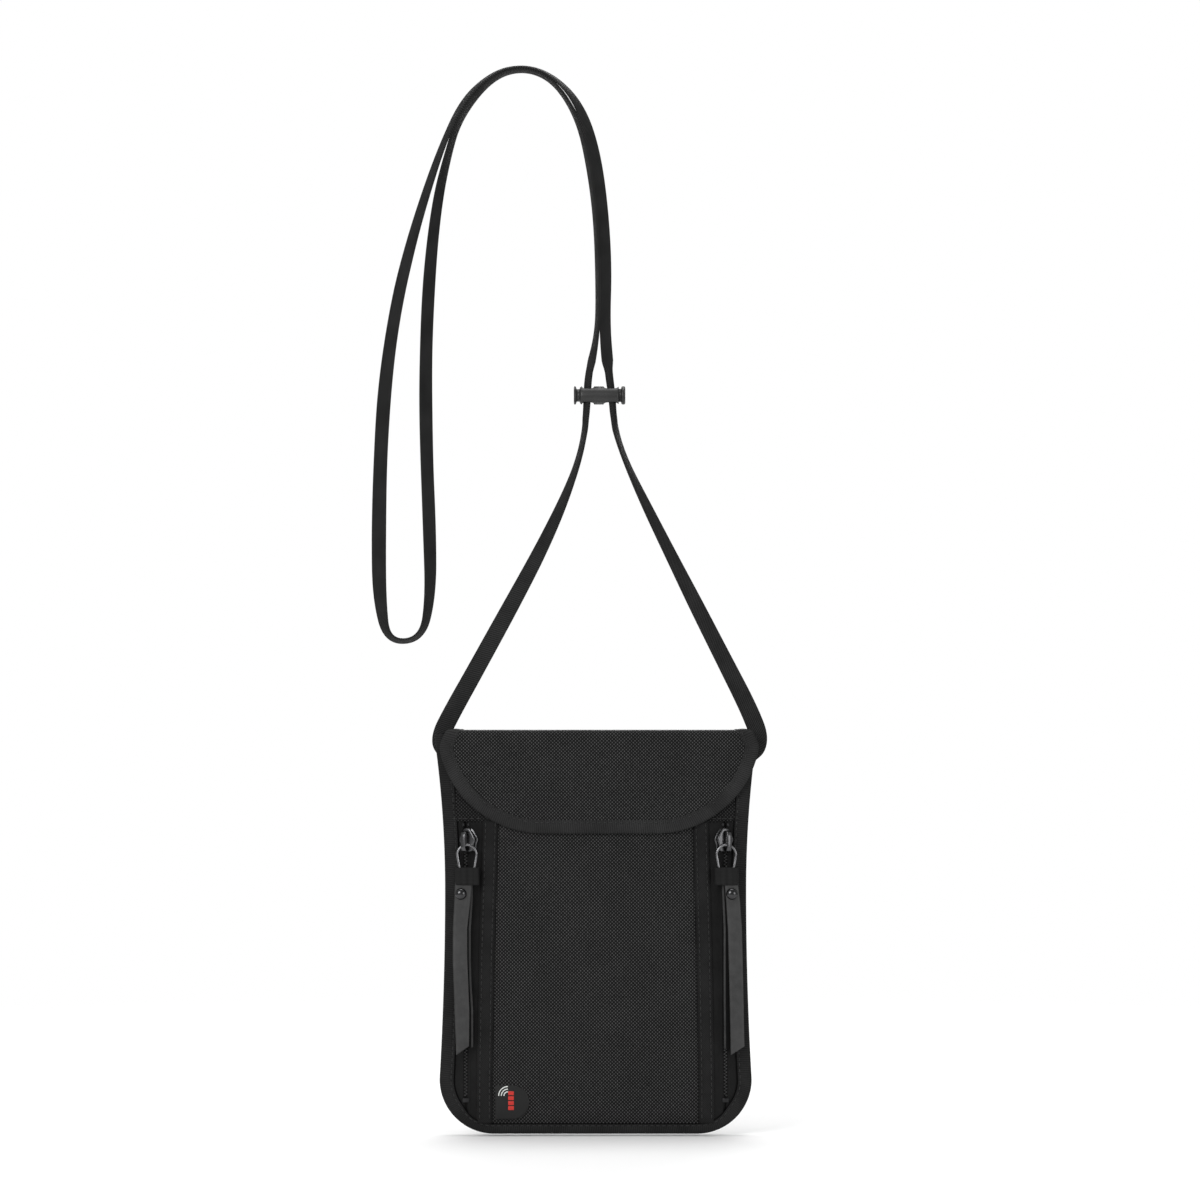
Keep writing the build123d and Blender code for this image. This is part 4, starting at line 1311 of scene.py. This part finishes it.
# depth, and how far each strip stands off the ring's plane there
FRONT_BOW = ((360, 0.0), (372, 0.0), (385, -0.3), (410, -0.75), (435, -0.5), (450, -0.3))
BACK_BOW = ((360, 0.0), (380, 0.1), (450, 0.25))
FRONT_OFF = -1.55
BACK_OFF = 0.55
BACK_HALF = 3.0
FRONT_LEAN = 2.6          # how far each strip's cut end slopes, from its middle to its edge
BACK_LEAN = {"left": 1.2, "right": 0.0}
RIVET_X = {"left": -27.3, "right": 96.4}
KEEPER_TOP = -363.35
KEEPER_BOTTOM = -371.4
KEEPER_OUTER = (5.5, 2.2)  # half sizes along X and Y
KEEPER_INNER = (4.9, 1.8)
RING_DROP = 1.6           # how far the ring's foot hangs below the CAD ring
LOOP_RADII = (1.55, 0.66)
FRONT_STRIP_T = 1.0
BACK_STRIP_T = 0.95


def along_route(zs, route, column=1):
    """A route's column at each level."""
    route = np.array(route)
    return np.interp(-zs, route[:, 0], route[:, column])[:, None]


def strip(name, zs, centre, half, level, thickness, lean, tip, material, **options):
    """One layer of a leather tab; centre, half and level are given at each z."""
    z, s = zs[:, None], np.linspace(-1, 1, 13)
    drop = smoothstep(-z, -tip - 9.0, -tip) * lean * s
    rounding = 0.22 * np.abs(s) ** 6
    y = level + 0.10 * s * s
    outer = joined(centre + s * half, y + rounding, z + drop)
    inner = joined(centre + s * half, y + thickness - rounding, z + drop)
    closed_sheet(name, outer, inner, joined(s * STRIP_MAP_HALF, z), material, slot="leather", **options)


def make_pull(name, x):
    """The ring, and the leather strip folded through it."""
    ring_low, ring_high = box_of(f"{name}_pull_ring")
    ring_y = (ring_low.y + ring_high.y) / 2
    bottom = ring_low.z - RING_DROP
    line, heading = ring_line(x, ring_high.z - 0.55, bottom)
    (px, pz), (hx, hz) = line.T[..., None], unit(heading).T[..., None]
    turn = circle(14)
    out = RING_WIRE_R * np.cos(turn)
    rings = joined(px - hz * out, ring_y + RING_WIRE_R * np.sin(turn), pz + hx * out)
    swept(f"{name}_ring_wire", rings, plain_map(rings), RING_METAL, closed_path=True, body=f"{name}_ring",
          slot="gunmetal", replaces=[f"{name}_pull_ring"])

    body = f"{name}_tab"
    tip = box_of(f"{name}_leather_tab")[0].z
    start = ring_low.z - 2.3
    front, back = TAB_ROUTES[name]
    zs = np.linspace(start, tip + 2.6, 120)
    strip(f"{name}_tab_front_strip", zs, along_route(zs, front), along_route(zs, front, 2),
          ring_y + FRONT_OFF + along_route(zs, FRONT_BOW), FRONT_STRIP_T, FRONT_LEAN, tip, LEATHER,
          body=body, replaces=[f"{name}_leather_tab"])
    zs = np.linspace(start, tip + 3.2, 110)
    strip(f"{name}_tab_back_strip", zs, along_route(zs, back), BACK_HALF,
          ring_y + BACK_OFF + along_route(zs, BACK_BOW), BACK_STRIP_T, BACK_LEAN[name], tip, SHADED_LEATHER_LIT_RIM, body=body)

    # the turn round the ring's foot
    turn, s = np.linspace(0, math.pi, 14)[:, None], np.linspace(-2.5, 2.5, 9)
    outer, inner = (joined(x + s, ring_y - radius * np.cos(turn), bottom + radius * np.sin(turn) * 0.95 - 0.4)
                    for radius in LOOP_RADII)
    closed_sheet(f"{name}_tab_loop", outer, inner, joined(s, turn * 1.5), LEATHER, body=body, slot="leather")
    make_keeper(name, x, ring_y)
    make_rivet(name, ring_y)


def make_keeper(name, x, ring_y):
    """A woven loop round both layers of the tab."""
    cx, cy = squared_circle(56, 0.28, 0.45)
    index = np.arange(56)
    z = np.linspace(KEEPER_TOP, KEEPER_BOTTOM, 24)[:, None]
    end = np.minimum(np.arange(24), np.arange(24)[::-1])[:, None]
    hem = -0.12 * np.maximum(2 - end, 0)
    middle = x + 0.2 * (-362.3 - z) / 9.0
    level = z + 0.08 * np.sin(index)
    outer = joined(middle + cx * (KEEPER_OUTER[0] + hem), ring_y + cy * (KEEPER_OUTER[1] + hem), level)
    inner = joined(middle + cx * KEEPER_INNER[0], ring_y + cy * KEEPER_INNER[1], level)
    uv = joined(z, index * 0.4)
    swept(f"{name}_keeper_band", np.concatenate([outer, inner[::-1]]), np.concatenate([uv, uv[::-1]]), KEEPER,
          closed_path=True, body=f"{name}_tab", slot="keeper_tape", replaces=[f"{name}_tab_keeper"])


RIVET_PROFILE = (
    # distance behind the leather's face, radius: the domed stud, its post, and the flat cap behind
    (-2.0, 0.02), (-1.95, 0.75), (-1.75, 1.4), (-1.4, 2.0), (-0.9, 2.45), (-0.4, 2.62), (-0.05, 2.6),
    (0.05, 2.3), (0.05, 0.9), (3.1, 0.9), (3.15, 1.8), (3.3, 1.9), (3.45, 1.75), (3.5, 0.02),
)


def make_rivet(name, ring_y):
    low, high = box_of(f"{name}_tab_rivet")
    depth, radius = np.array(RIVET_PROFILE).T[..., None]
    turn = circle(40)
    rings = joined(RIVET_X[name] + radius * np.cos(turn), ring_y - 1.5 + depth,
                   (low.z + high.z) / 2 + radius * np.sin(turn))
    swept(f"{name}_rivet_stud", rings, plain_map(rings), RIVET_METAL, body=f"{name}_tab", slot="rivet_metal",
          replaces=[f"{name}_tab_rivet"])


# ---- Badge ----
ARC_RADII = (1.85, 3.05, 4.25)
ARC_SECTION = ((-0.27, 0.0), (-0.21, -0.14), (0.21, -0.14), (0.27, 0.0))      # across, height
ARC_Z = -468.0
MARK_COUNT = 4
MARK_GAP = 0.45


def make_badge():
    low, high = box_of("badge_patch")
    radius = (high.z - low.z) / 2
    middle = low.z + radius
    y = float(front_y(np.array(low.x + 8), np.array(middle))) - 0.1
    turn = np.linspace(math.pi / 2, -math.pi / 2, 40)
    nose = joined(low.x + 7.85 + radius * np.cos(turn), middle + radius * np.sin(turn))
    outline, _ = spaced(np.concatenate([[(low.x, high.z)], nose, [(low.x, low.z), (low.x, high.z)]]), 0.6)
    rings = plate(outline, y - 0.62, y + 0.5, 0.28)
    swept("badge_patch_rubber", rings, plain_map(rings), BADGE_RUBBER, slot="badge_rubber",
          replaces=["badge_patch"])

    turn = np.linspace(math.radians(90), math.radians(180), 22)[:, None]
    across, height = np.array(ARC_SECTION).T
    parts, maps = [], []
    for r in ARC_RADII:
        parts.append(joined(low.x + 5.9 + (r + across) * np.cos(turn), y - 0.60 + height,
                            ARC_Z + (r + across) * np.sin(turn)))
        maps.append(joined(low.x + 5.9 + r * np.cos(turn) + 0 * across, ARC_Z + r * np.sin(turn)))
    tubes("badge_arc_prints", parts, maps, WHITE_INK, slot="badge_white", replaces=["badge_arcs"])

    # the blocks stand a little up and to the left of the CAD bar
    low, high = box_of("badge_bar")
    top = high.z + 1.3
    tall = (high.z - low.z + MARK_GAP) / MARK_COUNT
    marks = [rounded_box(f"badge_mark_{k + 1}", (low.x - 0.9, y - 0.76, top - (k + 1) * tall + MARK_GAP),
                         (high.x - 0.7, y - 0.50, top - k * tall), 0.12, RED_INK, slot="badge_red")
             for k in range(MARK_COUNT)]
    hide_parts("badge_bar")


# ---- Cord lock ----
SLEEVE_PROFILE = (
    # x, radius: the knob at the closed end, the barrel, and its bore
    (24.25, 0.3), (24.2, 3.3), (24.3, 4.05), (24.6, 4.25), (25.1, 4.1), (25.35, 3.6), (25.5, 3.0),
    (26.2, 2.85), (26.9, 3.0), (27.1, 3.7), (27.5, 4.12), (28.2, 4.2), (31.0, 4.2), (36.0, 4.22), (41.0, 4.2),
    (43.8, 4.2),
    (44.5, 4.1), (44.8, 3.8), (44.8, 3.15), (44.3, 3.12), (33.5, 3.1), (33.4, 0.3),
)
PLUNGER_PROFILE = (
    (38.4, 0.3), (38.4, 2.7), (38.7, 3.0), (44.0, 3.0), (45.6, 3.0), (45.9, 3.2), (46.0, 3.9), (46.4, 4.2),
    (47.2, 4.2), (47.65, 4.0), (47.8, 3.4), (47.7, 0.3),
)
# x of the middle, half length along X, half width along Y: the strap clears them as the lock slides
SLEEVE_SLOTS = ((30.7, 2.85, 2.85), (41.15, 3.35, 2.85))
PLUNGER_SLOTS = ((41.35, 3.4, 2.5),)
SPRING_TURNS = 4
SPRING_R = 2.5
SPRING_WIRE_R = 0.26


def slotted(o, slots):
    """Cut rounded slots, along Z, through a turned part."""
    for k, (x, half_x, half_y) in enumerate(slots):
        across, deep = squared_circle(32, 0.5, 0.5)
        rings = joined(x + half_x * across, half_y * deep, LOCK_Z + np.array([[-7.0], [7.0]]))
        cutter = swept(f"{o.name}_cutter_{k}", rings, rings[..., :2], LOCK_PLASTIC, body=None)
        modifier = o.modifiers.new("slot", "BOOLEAN")
        modifier.operation = "DIFFERENCE"
        modifier.solver = "EXACT"
        modifier.object = cutter
        mesh = bpy.data.meshes.new_from_object(o.evaluated_get(bpy.context.evaluated_depsgraph_get()))
        o.modifiers.clear()
        o.data = mesh
        bpy.data.objects.remove(cutter)


def make_cord_lock():
    for part, profile, slots, body in (("sleeve", SLEEVE_PROFILE, SLEEVE_SLOTS, "cord_lock"),
                                       ("plunger", PLUNGER_PROFILE, PLUNGER_SLOTS, "lock_plunger")):
        slotted(lathe_x(f"lock_{part}_shell", profile, LOCK_Z, LOCK_PLASTIC, body=body, slot="lock_plastic",
                        replaces=[f"lock_{part}"]), slots)
    a = np.linspace(0, 2 * math.pi * SPRING_TURNS, 140)
    line = joined(33.75 + 3.3 * a / a[-1], SPRING_R * np.cos(a), LOCK_Z + SPRING_R * np.sin(a))
    radial = joined(0, np.cos(a), np.sin(a))
    third = np.cross(unit(np.gradient(line, axis=0)), radial)
    turn = circle(10)[:, None]
    rings = line[:, None] + SPRING_WIRE_R * (np.cos(turn) * radial[:, None] + np.sin(turn) * third[:, None])
    swept("lock_spring_coil", rings, rings[..., :2], SPRING_METAL, body="cord_lock", slot="spring_steel",
          replaces=["lock_spring"])


make_camera()
make_world()
make_lamps()
make_floor()
strap, strap_path, strap_length = make_strap()
make_strap_ends()
make_edge_binding()
make_front()
make_zips()
make_inside()
make_back()
make_fold()
make_flap()
make_closures()
for slider_side, slider_name in SIDES:
    make_slider(slider_side, slider_name)
make_badge()
make_cord_lock()
